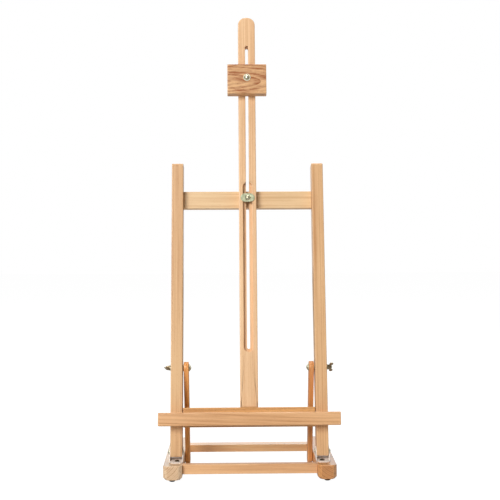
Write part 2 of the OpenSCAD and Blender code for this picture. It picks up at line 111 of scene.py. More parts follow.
sky = bpy.data.worlds.new("studio_sky")
bpy.context.scene.world = sky
sky_tree = blank_tree(sky)
sky_way = add(sky_tree, "ShaderNodeTexCoord")
sky_way = add(sky_tree, "ShaderNodeSeparateXYZ", {0: sky_way.outputs["Generated"]})
rays = add(sky_tree, "ShaderNodeLightPath")
seen = add(sky_tree, "ShaderNodeMath", {0: rays.outputs["Is Camera Ray"],
                                        1: rays.outputs["Is Transmission Ray"]}, operation="MAXIMUM")
dull = add(sky_tree, "ShaderNodeMapRange",
           {0: sky_way.outputs[1], 1: -0.6, 2: 0.6, 3: sky_front, 4: sky_back},
           interpolation_type="SMOOTHSTEP")
shiny = add(sky_tree, "ShaderNodeMapRange",
            {0: sky_way.outputs[1], 1: -0.5, 2: 0.3, 3: gloss_front, 4: gloss_back},
            interpolation_type="SMOOTHSTEP")
level = add(sky_tree, "ShaderNodeMix", {0: rays.outputs["Is Glossy Ray"], 2: dull.outputs[0],
                                        3: shiny.outputs[0]})
level = add(sky_tree, "ShaderNodeMix", {0: seen.outputs[0], 2: level.outputs[0], 3: 1.0})
glow = add(sky_tree, "ShaderNodeBackground", {"Color": white, "Strength": level.outputs[0]})
add(sky_tree, "ShaderNodeOutputWorld", {"Surface": glow.outputs[0]})

# The floor: a wide pale sheet under the rubber feet, which takes a faint shadow of the easel. The
# camera sees it lit from within, almost white, and to the other rays it is a plain matt grey.
floor_half = 12.0
floor_seen, floor_grey, floor_speckle = 0.86, 0.7, 0.04
floor_lit, floor_glow_power = 0.8, 1.22
floor_mesh = bpy.data.meshes.new("floor")
floor_corners = np.array([[-1, -1], [1, -1], [1, 1], [-1, 1]]) * floor_half
floor_mesh.from_pydata(np.column_stack([floor_corners, np.zeros(4)]).tolist(), [], [(0, 1, 2, 3)])
floor = bpy.data.objects.new("floor", floor_mesh)
bpy.context.scene.collection.objects.link(floor)
floor_paint = bpy.data.materials.new("pale_floor")
floor_tree = blank_tree(floor_paint)
floor_place = add(floor_tree, "ShaderNodeTexCoord")
floor_speck = add(floor_tree, "ShaderNodeTexNoise", {"Vector": floor_place.outputs["Object"],
                                                     "Scale": 90.0})
floor_rays = add(floor_tree, "ShaderNodeLightPath")
floor_pale = add(floor_tree, "ShaderNodeMapRange", {0: floor_rays.outputs["Is Camera Ray"],
                                                    3: floor_grey, 4: floor_seen})
floor_tone = add(floor_tree, "ShaderNodeMath", {0: floor_speck.outputs[0], 1: floor_speckle,
                                                2: floor_pale.outputs[0]}, operation="MULTIPLY_ADD")
floor_matt = add(floor_tree, "ShaderNodeBsdfDiffuse", {"Color": floor_tone.outputs[0]})
floor_glow = add(floor_tree, "ShaderNodeEmission", {"Color": white, "Strength": floor_glow_power})
floor_share = add(floor_tree, "ShaderNodeMath", {0: floor_rays.outputs["Is Camera Ray"], 1: floor_lit},
                  operation="MULTIPLY")
floor_mix = add(floor_tree, "ShaderNodeMixShader",
                {0: floor_share.outputs[0], 1: floor_matt.outputs[0], 2: floor_glow.outputs[0]})
add(floor_tree, "ShaderNodeOutputMaterial", {"Surface": floor_mix.outputs[0]})
floor_mesh.materials.append(floor_paint)

# Side rails: two planed beech battens that run from front to back. The upright corners of their ends
# and their lower edges are cut back, and all edges are sanded over. The rest of the easel stands on them.
rail_x, rail_w, rail_l = 120.7, 33.8, 270.0
rail_low, rail_top = 6.0, 31.0
rail_nose, rail_under = 6.0, 4.0
rail_ease = 1.1


def eased(corners, radius, inset=0.0, steps=4, guard=1.4):
    """Polygons with rounded corners, one for each station along a piece.
    Each corner becomes an arc of the circle that touches both of its sides, and a guard point lies
    beyond each end of the arc. The inset moves all sides inwards first. Returns points and edge marks."""
    corners = np.asarray(corners, float)
    radius = np.broadcast_to(np.asarray(radius, float), corners.shape[:2])
    inset = np.broadcast_to(np.asarray(inset, float), corners.shape[:1])
    back = corners - np.roll(corners, 1, axis=1)
    on = np.roll(corners, -1, axis=1) - corners
    back /= np.linalg.norm(back, axis=-1, keepdims=True)
    on /= np.linalg.norm(on, axis=-1, keepdims=True)
    out_a = np.stack([back[..., 1], -back[..., 0]], -1)
    out_b = np.stack([on[..., 1], -on[..., 0]], -1)
    along = (out_a * out_b).sum(-1)
    mitre = (out_a + out_b) / (1 + along)[..., None]
    turn = np.arctan2(out_a[..., 0] * out_b[..., 1] - out_a[..., 1] * out_b[..., 0], along)
    start = np.arctan2(out_a[..., 1], out_a[..., 0])
    angle = start[..., None] + np.linspace(0, 1, steps + 1) * turn[..., None]
    centre = corners - (inset[:, None] + radius)[..., None] * mitre
    arc = centre[:, :, None] + radius[:, :, None, None] * np.stack([np.cos(angle), np.sin(angle)], -1)
    first = arc[:, :, :1] - guard * back[:, :, None]
    last = arc[:, :, -1:] + guard * on[:, :, None]
    points = np.concatenate([first, arc, last], axis=2)
    marks = np.ones(points.shape[:3])
    marks[:, :, [0, -1]] = 0.0
    return points.reshape(len(corners), -1, 2), marks.reshape(len(corners), -1)


def stations(low, high, ease, between=(), steps=4, guard=1.4):
    """Places along a piece whose two ends are rounded over, with the inset and the end mark at each.
    Over an end the place follows the sine of a quarter turn and the inset one minus its cosine."""
    quarter = np.linspace(0, math.pi / 2, steps + 1)
    place = ease * (1 - np.sin(quarter))
    inset = ease * (1 - np.cos(quarter))
    end = (quarter > 0.9).astype(float)
    place = np.concatenate([[ease + guard], place, [0.0]])
    inset = np.concatenate([[0.0], inset, [ease + guard]])
    end = np.concatenate([[0.0], end, [1.0]])
    rim = np.concatenate([[0.0], np.ones(steps + 1), [0.0]])
    middle = np.asarray(between, float)
    zero = np.zeros(len(middle))
    return (np.concatenate([low + place[::-1], middle, high - place]),
            np.concatenate([inset[::-1], zero, inset]),
            np.concatenate([end[::-1], zero, end]),
            np.concatenate([rim[::-1], zero, rim]))


def skin(rings, end=0.0, edge=0.0, caps=True):
    """A closed shell over a stack of rings: point j of ring i joins point j of ring i + 1 and point
    j + 1 of ring i. A flat face closes each end, and the faces are turned to point outwards."""
    rings = np.asarray(rings, float)
    rows, count = rings.shape[:2]
    row, column = np.meshgrid(np.arange(rows - 1), np.arange(count), indexing="ij")
    a = row * count + column
    b = row * count + (column + 1) % count
    faces = np.stack([a, b, b + count, a + count], -1).reshape(-1, 4).tolist()
    if caps:
        faces.append(list(range(count))[::-1])
        faces.append(list(range((rows - 1) * count, rows * count)))
    shell = {"points": rings.reshape(-1, 3), "faces": faces,
             "end": np.broadcast_to(end, (rows, count)).ravel().astype(float),
             "edge": np.broadcast_to(edge, (rows, count)).ravel().astype(float)}
    corner = shell["points"][np.stack([a, b, b + count, a + count], -1).reshape(-1, 4)]
    middle = shell["points"].mean(0)
    corner = corner - middle
    volume = (np.cross(corner[:, 0], corner[:, 1]) * corner[:, 2]).sum() \
        + (np.cross(corner[:, 0], corner[:, 2]) * corner[:, 3]).sum()
    if caps:
        for ring, sign in ((rings[0], -1), (rings[-1], 1)):
            fan = ring - middle
            volume += sign * (np.cross(fan[0], fan[1:-1]) * fan[2:]).sum()
    if volume < 0:
        shell["faces"] = [face[::-1] for face in faces]
    return shell


def mirrored(shell):
    """The same shell on the other side of the easel's middle plane."""
    return {**shell, "points": shell["points"] * [-1, 1, 1], "faces": [f[::-1] for f in shell["faces"]]}


def moved(shell, place):
    """The same shell, moved by a vector."""
    return {**shell, "points": shell["points"] + np.asarray(place, float)}


def piece(name, shells, material, smooth=32.0):
    """One object from shells in millimetres: coincident points are merged, so poles and seams close,
    and edges sharper than the smooth angle stay crisp."""
    points = np.concatenate([s["points"] for s in shells]) / 1000.0
    starts = np.cumsum([0] + [len(s["points"]) for s in shells])
    faces = [[int(i + start) for i in face] for s, start in zip(shells, starts) for face in s["faces"]]
    mesh = bpy.data.meshes.new(name)
    mesh.from_pydata(points.tolist(), [], faces)
    for mark in ("end", "edge"):
        values = np.concatenate([s[mark] for s in shells]).astype(np.float32)
        mesh.attributes.new(mark, "FLOAT", "POINT").data.foreach_set("value", values)
    work = bmesh.new()
    work.from_mesh(mesh)
    bmesh.ops.remove_doubles(work, verts=work.verts, dist=2e-6)
    bmesh.ops.dissolve_degenerate(work, edges=work.edges, dist=1e-7)
    work.to_mesh(mesh)
    work.free()
    mesh.polygons.foreach_set("use_smooth", np.ones(len(mesh.polygons), bool))
    mesh.set_sharp_from_angle(angle=math.radians(smooth))
    mesh.materials.append(material)
    made = bpy.data.objects.new(name, mesh)
    bpy.context.scene.collection.objects.link(made)
    return made


def carried(section, edge, place, end, rim, order):
    """A section for each place along the grain, joined up into a shell. Order says which axes hold the
    section's two sides and the grain. The end grain shows on both ends, and their rims are edges."""
    points = np.empty(section.shape[:2] + (3,))
    points[..., order[0]] = section[..., 0]
    points[..., order[1]] = section[..., 1]
    points[..., order[2]] = place[:, None]
    return skin(points, end[:, None], np.maximum(edge * (end[:, None] < 1), rim[:, None]))


def oblong(near, far, low, high):
    """The four corners of an upright rectangle, anticlockwise from the near lower one."""
    return [[near, low], [far, low], [far, high], [near, high]]


def batten(corners, low, high, ease, order, between=()):
    """A straight batten: one eased polygon, drawn across the grain, is carried along it, and both ends
    are rounded over."""
    place, inset, end, rim = stations(low, high, ease, between)
    shape = np.broadcast_to(np.asarray(corners, float), (len(place), len(corners), 2))
    section, edge = eased(shape, np.maximum(ease - inset, 0.25 * ease)[:, None], inset)
    return carried(section, edge, place, end, rim, order)


def finish_group(name, inputs):
    """A node group for a finish, with a socket for each input: a word says its kind, and a number is the
    value that it starts from. It puts out a colour, a roughness and a height."""
    tree = bpy.data.node_groups.new(name, "ShaderNodeTree")
    for label, start in inputs.items():
        kind = start if isinstance(start, str) else "Float"
        socket = tree.interface.new_socket(label, in_out="INPUT", socket_type="NodeSocket" + kind)
        if kind == "Float":
            socket.default_value = start
    for label, kind in (("Color", "Color"), ("Roughness", "Float"), ("Height", "Float")):
        tree.interface.new_socket(label, in_out="OUTPUT", socket_type="NodeSocket" + kind)
    return tree


def grain_group():
    """Beech as a solid: growth rings round a heart line, fibres and small dark rays along it.
    The rings are the fraction of the distance from the heart over the ring gap, bent by slow noise."""
    tree = finish_group("beech_grain", {
        "Vector": "Vector", "Light": "Color", "Dark": "Color", "Ring gap": 0.0035, "Rings": 0.3,
        "Streaks": 0.3, "Flecks": 0.3, "Figure": 0.006, "End": 0.0, "Edge": 0.0})
    given = tree.nodes.new("NodeGroupInput").outputs

    def sums(operation, a, b=0.0, c=0.0, clamp=False):
        """One step of arithmetic on up to three values."""
        return add(tree, "ShaderNodeMath", {0: a, 1: b, 2: c}, operation=operation,
                   use_clamp=clamp).outputs[0]

    def spread(vector, scale, detail, source="Fac"):
        """Noise on the grain's own coordinates, with one scale across, one through and one along."""
        wide = add(tree, "ShaderNodeVectorMath", {0: vector, 1: scale}, operation="MULTIPLY")
        noise = add(tree, "ShaderNodeTexNoise", {"Vector": wide.outputs[0], "Scale": 1.0, "Detail": detail})
        return noise.outputs[source]

    def ramp(value, low, high):
        """A smooth step from 0 at the low value to 1 at the high one."""
        return add(tree, "ShaderNodeMapRange", {0: value, 1: low, 2: high},
                   interpolation_type="SMOOTHSTEP").outputs[0]

    slow = add(tree, "ShaderNodeVectorMath",
               {0: spread(given["Vector"], (11.0, 11.0, 2.6), 1.5, "Color"), 1: (0.5, 0.5, 0.5)},
               operation="SUBTRACT")
    bend = add(tree, "ShaderNodeVectorMath", {0: slow.outputs[0], "Scale": given["Figure"]},
               operation="SCALE")
    bent = add(tree, "ShaderNodeVectorMath", {0: given["Vector"], 1: bend.outputs[0]}, operation="ADD")
    ripple = add(tree, "ShaderNodeVectorMath",
                 {0: spread(given["Vector"], (90.0, 90.0, 14.0), 2.0, "Color"), 1: (0.0012, 0.0012, 0.0)},
                 operation="MULTIPLY")
    bent = add(tree, "ShaderNodeVectorMath", {0: bent.outputs[0], 1: ripple.outputs[0]}, operation="ADD")
    parts = add(tree, "ShaderNodeSeparateXYZ", {0: bent.outputs[0]})
    heart = sums("SQRT", sums("ADD", sums("MULTIPLY", parts.outputs[0], parts.outputs[0]),
                              sums("MULTIPLY", parts.outputs[1], parts.outputs[1])))
    phase = sums("DIVIDE", heart, given["Ring gap"])
    part = sums("FRACT", phase)
    year = add(tree, "ShaderNodeTexWhiteNoise", {"W": sums("FLOOR", phase)}, noise_dimensions="1D")
    late = sums("MULTIPLY", ramp(part, 0.15, 0.9), sums("SUBTRACT", 1.0, ramp(part, 0.92, 1.0)))
    late = sums("MULTIPLY", late, sums("MULTIPLY_ADD", year.outputs["Value"], 0.75, 0.25))
    streak = ramp(spread(bent.outputs[0], (150.0, 150.0, 3.0), 3.0), 0.42, 0.72)
    band = ramp(spread(bent.outputs[0], (420.0, 420.0, 5.0), 3.0), 0.38, 0.66)
    fibre = ramp(spread(given["Vector"], (1100.0, 1100.0, 24.0), 2.0), 0.3, 0.7)
    drift = spread(given["Vector"], (12.0, 12.0, 4.0), 2.0)
    cells = add(tree, "ShaderNodeVectorMath", {0: bent.outputs[0], 1: (1500.0, 170.0, 210.0)},
                operation="MULTIPLY")
    ray = add(tree, "ShaderNodeTexVoronoi", {"Vector": cells.outputs[0], "Scale": 1.0})
    some = add(tree, "ShaderNodeSeparateColor", {0: ray.outputs["Color"]})
    fleck = sums("MULTIPLY", sums("SUBTRACT", 1.0, ramp(ray.outputs["Distance"], 0.16, 0.34)),
                 ramp(some.outputs[0], 0.35, 0.5))
    late = sums("MULTIPLY", late, sums("MULTIPLY_ADD", band, 0.5, 0.6))
    dark = sums("MULTIPLY", late, given["Rings"])
    dark = sums("MULTIPLY_ADD", band, 0.16, dark)
    dark = sums("MULTIPLY_ADD", streak, given["Streaks"], dark)
    dark = sums("MULTIPLY_ADD", fleck, given["Flecks"], dark)
    dark = sums("MULTIPLY_ADD", fibre, 0.14, dark)
    dark = sums("MULTIPLY_ADD", sums("SUBTRACT", drift, 0.55), 0.7, dark, clamp=True)
    tone = add(tree, "ShaderNodeMix", {0: dark, 6: given["Light"], 7: given["Dark"]}, data_type="RGBA")
    pores = ramp(spread(given["Vector"], (1900.0, 1900.0, 60.0), 2.0), 0.4, 0.68)
    open_end = add(tree, "ShaderNodeMix", {0: sums("MULTIPLY_ADD", pores, 0.3, 0.25),
                                           6: given["Light"], 7: given["Dark"]}, data_type="RGBA")
    open_end = add(tree, "ShaderNodeMix", {0: sums("MULTIPLY", late, 1.2, clamp=True),
                                           6: open_end.outputs[2], 7: given["Dark"]}, data_type="RGBA")
    tone = add(tree, "ShaderNodeMix", {0: sums("MULTIPLY", given["End"], 0.8), 6: tone.outputs[2],
                                       7: open_end.outputs[2]}, data_type="RGBA")
    # Painted highlight: the rounded rims, given by the edge input, are painted towards the light colour, as
    # where edges catch the light.
    edge_highlight_share = sums("MULTIPLY", given["Edge"], sums("MULTIPLY_ADD", streak, -0.2, 0.32))
    tone = add(tree, "ShaderNodeMix", {0: edge_highlight_share, 6: tone.outputs[2], 7: given["Light"]}, data_type="RGBA")
    rough = sums("MULTIPLY_ADD", fibre, 0.1, 0.4)
    rough = sums("MULTIPLY_ADD", given["End"], 0.2, rough)
    rough = sums("MULTIPLY_ADD", fleck, 0.08, rough)
    height = sums("MULTIPLY_ADD", fibre, 0.35, sums("MULTIPLY", fleck, -0.8))
    height = sums("MULTIPLY_ADD", late, -0.5, height)
    add(tree, "NodeGroupOutput", {"Color": tone.outputs[2], "Roughness": rough, "Height": height})
    return tree


beech_grain = grain_group()


def shade(red, green, blue):
    """A finish's colour, from its red, green and blue as they look, 0 to 255, to the shader's scale."""
    seen_as = np.array([red, green, blue]) / 255.0
    linear = np.where(seen_as <= 0.04045, seen_as / 12.92, ((seen_as + 0.055) / 1.055) ** 2.4)
    return (*linear.tolist(), 1.0)


def beech(name, light, dark, centre, turn, heart, gap=3.5, rings=0.3, streaks=0.3, flecks=0.25,
          figure=6.0, coat=0.3):
    """Lacquered beech, between a light and a dark colour. The turn, in degrees, lays the grain along the
    piece, whose centre is given. The heart is how far the tree's middle lies from there, and gap and
    figure are the ring gap and how far the rings wander, in millimetres."""
    angles = [math.radians(v) for v in turn]
    shift = Vector(heart) - Euler(angles).to_matrix() @ Vector(centre)
    material = bpy.data.materials.new(name)
    tree = blank_tree(material)
    place = add(tree, "ShaderNodeTexCoord")
    laid = add(tree, "ShaderNodeMapping", {"Vector": place.outputs["Object"],
                                           "Location": shift / 1000.0, "Rotation": angles})
    end = add(tree, "ShaderNodeAttribute", attribute_name="end")
    edge = add(tree, "ShaderNodeAttribute", attribute_name="edge")
    wood = add(tree, "ShaderNodeGroup", {
        "Vector": laid.outputs[0], "End": end.outputs["Fac"], "Edge": edge.outputs["Fac"],
        "Light": shade(*light), "Dark": shade(*dark), "Ring gap": gap / 1000.0, "Rings": rings,
        "Streaks": streaks, "Flecks": flecks, "Figure": figure / 1000.0}, node_tree=beech_grain)
    bump = add(tree, "ShaderNodeBump", {"Strength": 0.35, "Distance": 0.0002,
                                        "Height": wood.outputs["Height"]})
    lacquer = add(tree, "ShaderNodeBsdfPrincipled", {"Base Color": wood.outputs["Color"],
                                                     "Roughness": wood.outputs["Roughness"],
                                                     "Normal": bump.outputs[0], "IOR": 1.4,
                                                     "Coat Weight": coat, "Coat Roughness": 0.16})
    add(tree, "ShaderNodeOutputMaterial", {"Surface": lacquer.outputs[0]})
    return material


rail_beech_left = beech("rail_beech_left", (238, 206, 166), (185, 136, 91),
                        (-137, 0, 20), (90, 0, 40), (6, 62, 0), gap=3.2, rings=0.5, streaks=0.3,
                        flecks=0.3, figure=9, coat=1.0)
rail_beech_right = beech("rail_beech_right", (221, 158, 93), (160, 94, 41),
                         (137, 0, 20), (90, 0, -30), (-5, 48, 300), gap=3.0, rings=0.5, streaks=0.35,
                         flecks=0.3, figure=9, coat=1.0)
to_nose = np.array([1.6, 2.6, 3.6, 4.4, 5.0, 5.4, 5.8, 6.2, 6.6, 7.0, 8.4])
rail_low_y, rail_high_y = -rail_l / 2, rail_l / 2
rail_between = np.concatenate([rail_low_y + to_nose, np.linspace(-110, 110, 12),
                               rail_high_y - to_nose[::-1]])
rail_at, rail_inset, rail_end, rail_rim = stations(rail_low_y, rail_high_y, rail_ease, rail_between,
                                                   guard=0.3)


def cut_back(depth, from_end):
    """How far a 45-degree cut of a depth still reaches in at a distance from the end, rounded out."""
    blend = np.clip(depth + 1 - from_end, 0, 2) ** 2 / 4
    return np.where(from_end < depth - 1, depth - from_end, blend)


from_end = np.minimum(rail_at - rail_low_y, rail_high_y - rail_at)
nose = cut_back(rail_nose, from_end)
rail_near, rail_far = rail_x + nose, rail_x + rail_w - nose
rail_corners = np.stack([np.stack([across, np.full_like(nose, height)], -1) for across, height in (
    (rail_near + rail_under, rail_low), (rail_far - rail_under, rail_low),
    (rail_far, rail_low + rail_under), (rail_far, rail_top), (rail_near, rail_top),
    (rail_near, rail_low + rail_under))], axis=1)
rail_round = np.maximum(rail_ease - rail_inset, 0.25 * rail_ease)[:, None] * np.ones(6)
rail_section, rail_edge = eased(rail_corners, rail_round, rail_inset, guard=1.0)
rail_shell = carried(rail_section, rail_edge, rail_at, rail_end, rail_rim, (0, 2, 1))
for side, shell, material in (("left", mirrored(rail_shell), rail_beech_left),
                              ("right", rail_shell, rail_beech_right)):
    rail = piece(f"side_rail_{side}", [shell], material)
    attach(rail, "base")
    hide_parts(f"base_rail_{side}")

# Base crossbars: a front and a rear batten between the rails, flush with their tops. The front one is
# narrower and taller. Their ends are glued on hidden dowels.
front_bar_beech = beech("front_bar_beech", (242, 191, 139), (183, 122, 73),
                        (0, -113, 22), (0, -90, 20), (3, 50, 40), gap=4.2, rings=0.4, streaks=0.45,
                        flecks=0.22, figure=9)
# The rear bar's colours are painted lighter than its wood: painted light that stands in for the lamp light
# on its face under the tray.
rear_bar_beech_painted_light = beech("rear_bar_beech_painted_light", (255, 206, 148), (240, 158, 98),
                       (0, 68, 26), (0, -90, -12), (-4, 55, 500), gap=3.6, rings=0.3, streaks=0.35,
                       flecks=0.25, figure=7, coat=1.0)
bar_ease, bar_between = 0.9, np.linspace(-100, 100, 9)
for name, node, near, deep, high, material, slot in (
        ("front_bar", "front_crossbar", -120.0, 14.0, 17.5, front_bar_beech, "bar_wood"),
        ("rear_bar", "rear_crossbar", 55.0, 26.0, 14.0, rear_bar_beech_painted_light, "rear_bar_wood")):
    outline = oblong(near, near + deep, rail_top - high, rail_top)
    bar = piece(name, [batten(outline, -rail_x, rail_x, bar_ease, (1, 2, 0), bar_between)], material)
    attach(bar, "base")
    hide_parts(node)

# Uprights: two leaning posts that turn on bolts in the brackets. The lower end is rounded to clear the
# bracket, the top edges are rounded over, and the straight grain runs up the post.
lean = math.radians(10.8)
pivot_y, pivot_z = -75.0, 44.5
post_x, post_w, post_half_d, post_l = 122.3, 21.7, 16.0, 541.0
post_end, post_foot, post_round, post_ease = 12.0, 8.5, 5.0, 1.2


def leaned(shell):
    """From the frame's own axes, side, back and up the posts, to their place on the pivots."""
    x, back, up = shell["points"].T
    return {**shell, "points": np.column_stack([
        x, pivot_y + back * math.cos(lean) + up * math.sin(lean),
        pivot_z - back * math.sin(lean) + up * math.cos(lean)])}


def slab(outline, low, high, ease, axes, grain_axis=1, steps=4, guard=1.4):
    """A flat piece: a closed outline carried across its thickness, with both rims rounded over.
    Towards a rim each point moves in along its normal by one minus the cosine of a quarter turn."""
    outline = np.asarray(outline, float)
    step = np.roll(outline, -1, axis=0) - np.roll(outline, 1, axis=0)
    normal = np.column_stack([step[:, 1], -step[:, 0]])
    normal /= np.linalg.norm(normal, axis=1, keepdims=True)
    place, inset, _, rim = stations(low, high, ease, (), steps, guard)
    loops = outline[None] - inset[:, None, None] * normal[None]
    points = np.empty(loops.shape[:2] + (3,))
    points[..., axes[0]] = loops[..., 0]
    points[..., axes[1]] = loops[..., 1]
    points[..., axes[2]] = place[:, None]
    across = (np.abs(normal[:, grain_axis]) > 0.75).astype(float)
    flat = (inset <= ease * 0.3).astype(float)
    return skin(points, flat[:, None] * across[None], np.repeat(rim[:, None], len(outline), 1))


post_corners = np.array([[[-post_half_d, -post_foot], [post_end, -post_foot], [post_end, 0.0],
                          [post_half_d, post_end / 2], [post_half_d, post_l], [-post_half_d, post_l]]])
post_radii = np.array([[1.2, 7.4, -1.5, 1.5, post_round, post_round]])
post_outline, _ = eased(post_corners, post_radii, steps=8, guard=0.3)
post_shell = leaned(slab(post_outline[0], post_x, post_x + post_w, post_ease, (1, 2, 0)))
post_beech_left = beech("post_beech_left", (225, 182, 132), (189, 133, 84),
                        (-133, -25, 310), (10.8, 0, 72), (4, 95, 0), gap=3.9, rings=0.4, streaks=0.5,
                        flecks=0.25, figure=4)
post_beech_right = beech("post_beech_right", (230, 186, 136), (190, 133, 81),
                         (133, -25, 310), (10.8, 0, -66), (-6, 80, 700), gap=4.2, rings=0.4,
                         streaks=0.45, flecks=0.25, figure=6)
for side, shell, material in (("left", mirrored(post_shell), post_beech_left),
                              ("right", post_shell, post_beech_right)):
    post = piece(f"post_{side}", [shell], material)
    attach(post, "frame")
    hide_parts(f"upright_{side}")

# Upper crossbar: a flat board between the uprights, behind the mast. It is dowelled into the uprights
# and carries the bolt that clamps the mast.
mast_back = 2.0
top_bar_half, top_bar_s, top_bar_ease = 16.5, 472.8, 1.0
top_bar_beech = beech("top_bar_beech", (236, 202, 155), (202, 153, 102),
                      (0, 22, 509), (10.8, -90, 35), (-5, 85, 120), gap=4.5, rings=0.25, streaks=0.3,
                      flecks=0.25, figure=6)
top_bar_face = mast_back + 0.3
top_bar_outline = oblong(top_bar_face, post_half_d, top_bar_s - top_bar_half, top_bar_s + top_bar_half)
top_bar = piece("top_bar", [leaned(batten(top_bar_outline, -post_x, post_x, top_bar_ease, (1, 2, 0),
                                          bar_between))], top_bar_beech)
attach(top_bar, "frame")
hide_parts("upper_crossbar")

# Tray: a rear board between the uprights, on which the mast rests, and a lip in front of it that holds
# the canvas. The lip runs past the uprights on both sides and its long front edges are well rounded.
board_half, board_top, board_h, board_t, board_ease = 120.8, 79.3, 35.4, 18.0, 0.9
lip_half, lip_top, lip_h, lip_d = 165.0, 70.0, 24.0, 26.0
lip_round, lip_ease = 3.2, 1.0
board_beech = beech("board_beech", (227, 174, 109), (157, 100, 44),
                    (0, -71, 109), (10.8, -90, 25), (4, 70, 200), gap=3.0, rings=0.35, streaks=0.4,
                    flecks=0.6, figure=5)
lip_beech = beech("lip_beech", (233, 182, 131), (181, 123, 70),
                  (0, -92, 109), (10.8, -92, 38), (-6, 60, 900), gap=4.4, rings=0.42, streaks=0.45,
                  flecks=0.22, figure=10)
board_rear = -post_half_d + board_t
board_outline = oblong(-post_half_d, board_rear, board_top - board_h, board_top)
board = piece("tray_rear_board", [leaned(batten(board_outline, -board_half, board_half, board_ease,
                                                (1, 2, 0), bar_between))], board_beech)
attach(board, "frame")
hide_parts("tray_board")
lip_face = -post_half_d - lip_d
lip_outline = np.array(oblong(lip_face, -post_half_d, lip_top - lip_h, lip_top))
lip_at, lip_inset, lip_end, lip_rim = stations(-lip_half, lip_half, lip_ease, np.linspace(-140, 140, 13))
lip_shapes = np.broadcast_to(lip_outline, (len(lip_at), 4, 2))
lip_radii = np.array([lip_round, lip_ease, lip_ease, lip_round]) - 0.75 * lip_inset[:, None]
lip_section, lip_edge = eased(lip_shapes, np.maximum(lip_radii, 0.25), lip_inset, steps=6)
lip_shell = carried(lip_section, lip_edge, lip_at, lip_end, lip_rim, (1, 2, 0))
lip = piece("tray_front_lip", [leaned(lip_shell)], lip_beech)
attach(lip, "frame")
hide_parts("tray_lip")

# Mast: a long flat batten that slides up and down in front of the upper crossbar. A narrow slot runs
# right through it, a wider shallow groove guides the clamp's key, and its top is almost a half circle.
mast_half, mast_front = 16.5, -16.0
mast_foot, mast_l, mast_round = 79.6, 755.7, 15.0
slot_r, slot_low, slot_high = 2.9, 107.0, 58.7
groove_r, groove_low, groove_high, groove_d = 8.7, 101.0, 424.0, 8.0
mast_ease, slot_ease = 1.2, 0.6


def arc(centre, radius, first, last, count):
    """Points on a circle from one angle to another, in degrees, ends included."""
    angle = np.radians(np.linspace(first, last, count))
    return np.column_stack([centre[0] + radius * np.cos(angle), centre[1] + radius * np.sin(angle)])


def line(a, b, count):
    """Evenly spaced points from a to b, without b."""
    share = np.linspace(0, 1, count, endpoint=False)[:, None]
    return np.asarray(a, float) * (1 - share) + np.asarray(b, float) * share


def both_halves(half):
    """A closed outline from its left half, which runs from the top middle to the bottom middle."""
    return np.concatenate([half, half[-2:0:-1] * [-1, 1]])


def outward(loop):
    """Unit normals of a closed outline that is followed anticlockwise."""
    step = np.roll(loop, -1, axis=0) - np.roll(loop, 1, axis=0)
    normal = np.column_stack([step[:, 1], -step[:, 0]])
    return normal / np.maximum(np.linalg.norm(normal, axis=1, keepdims=True), 1e-9)


few, side_count, arc_count = 9, 14, 9
slot_bottom = mast_foot + slot_low + slot_r
slot_top = mast_foot + mast_l - slot_high - slot_r
groove_bottom = mast_foot + groove_low + groove_r
groove_top = mast_foot + groove_high - groove_r
meet_angle = math.degrees(math.acos(-slot_r / groove_r))
meet_s = groove_top + groove_r * math.sin(math.radians(meet_angle))
slot_half = np.concatenate([
    arc((0, slot_top), slot_r, 90, 180, few)[:-1],
    line((-slot_r, slot_top), (-slot_r, meet_s), side_count),
    line((-slot_r, meet_s), (-slot_r, groove_top), arc_count),
    line((-slot_r, groove_top), (-slot_r, slot_bottom), side_count),
    arc((0, slot_bottom), slot_r, 180, 270, few)])
opening_half = np.concatenate([
    arc((0, slot_top), slot_r, 90, 180, few)[:-1],
    line((-slot_r, slot_top), (-slot_r, meet_s), side_count),
    arc((0, groove_top), groove_r, meet_angle, 180, arc_count + 1)[:-1],
    line((-groove_r, groove_top), (-groove_r, groove_bottom), side_count),
    arc((0, groove_bottom), groove_r, 180, 270, few)])
mast_top_s = mast_foot + mast_l
crown = mast_top_s - mast_round
flat_top = mast_half - mast_round
foot_ease = 1.0
outer_half = np.concatenate([
    np.array([[0.0, mast_top_s]]),
    arc((-flat_top, crown), mast_round, 90, 180, few - 1)[:-1],
    line((-mast_half, crown), (-mast_half, meet_s), side_count),
    line((-mast_half, meet_s), (-mast_half, groove_top), arc_count),
    line((-mast_half, groove_top), (-mast_half, mast_foot + foot_ease), side_count),
    arc((-mast_half + foot_ease, mast_foot + foot_ease), foot_ease, 180, 270, few - 2),
    np.array([[-mast_half / 2, mast_foot], [0.0, mast_foot]])])
slot_loop, opening_loop, outer_loop = (both_halves(h) for h in (slot_half, opening_half, outer_half))
slot_out, opening_out, outer_out = (outward(h) for h in (slot_loop, opening_loop, outer_loop))

# Past each rounded rim, an outline on the flat face keeps the face flat in the light.
guard_in, slot_guard_in = 1.4, 1.0


def rolled(loop, normal, ease, face, way, grain, edge):
    """The levels of a rounded rim, from the wall to the face: outlines with their depths and their end
    and edge marks. Along a quarter turn each point moves along the normal by one minus the cosine, and
    the depth nears the face by the sine, both times the ease."""
    return [(loop + normal * ease * (1 - math.cos(angle)), face + way * ease * (1 - math.sin(angle)),
             grain * (angle < 0.8), edge) for angle in np.linspace(0, math.pi / 2, 4)]


def levelled(levels, axis):
    """A closed shell from levels, of which the last joins the first. The outlines lie in the plane of
    the two other axes, and the depth goes along the axis that is given."""
    levels = levels + levels[:1]
    points = np.array([np.insert(loop, axis, depth, axis=1) for loop, depth, _, _ in levels])
    plain = np.zeros(points.shape[1])
    grains = np.array([plain + grain for _, _, grain, _ in levels])
    edges = np.array([plain + edge for _, _, _, edge in levels])
    return skin(points, grains, edges, caps=False)


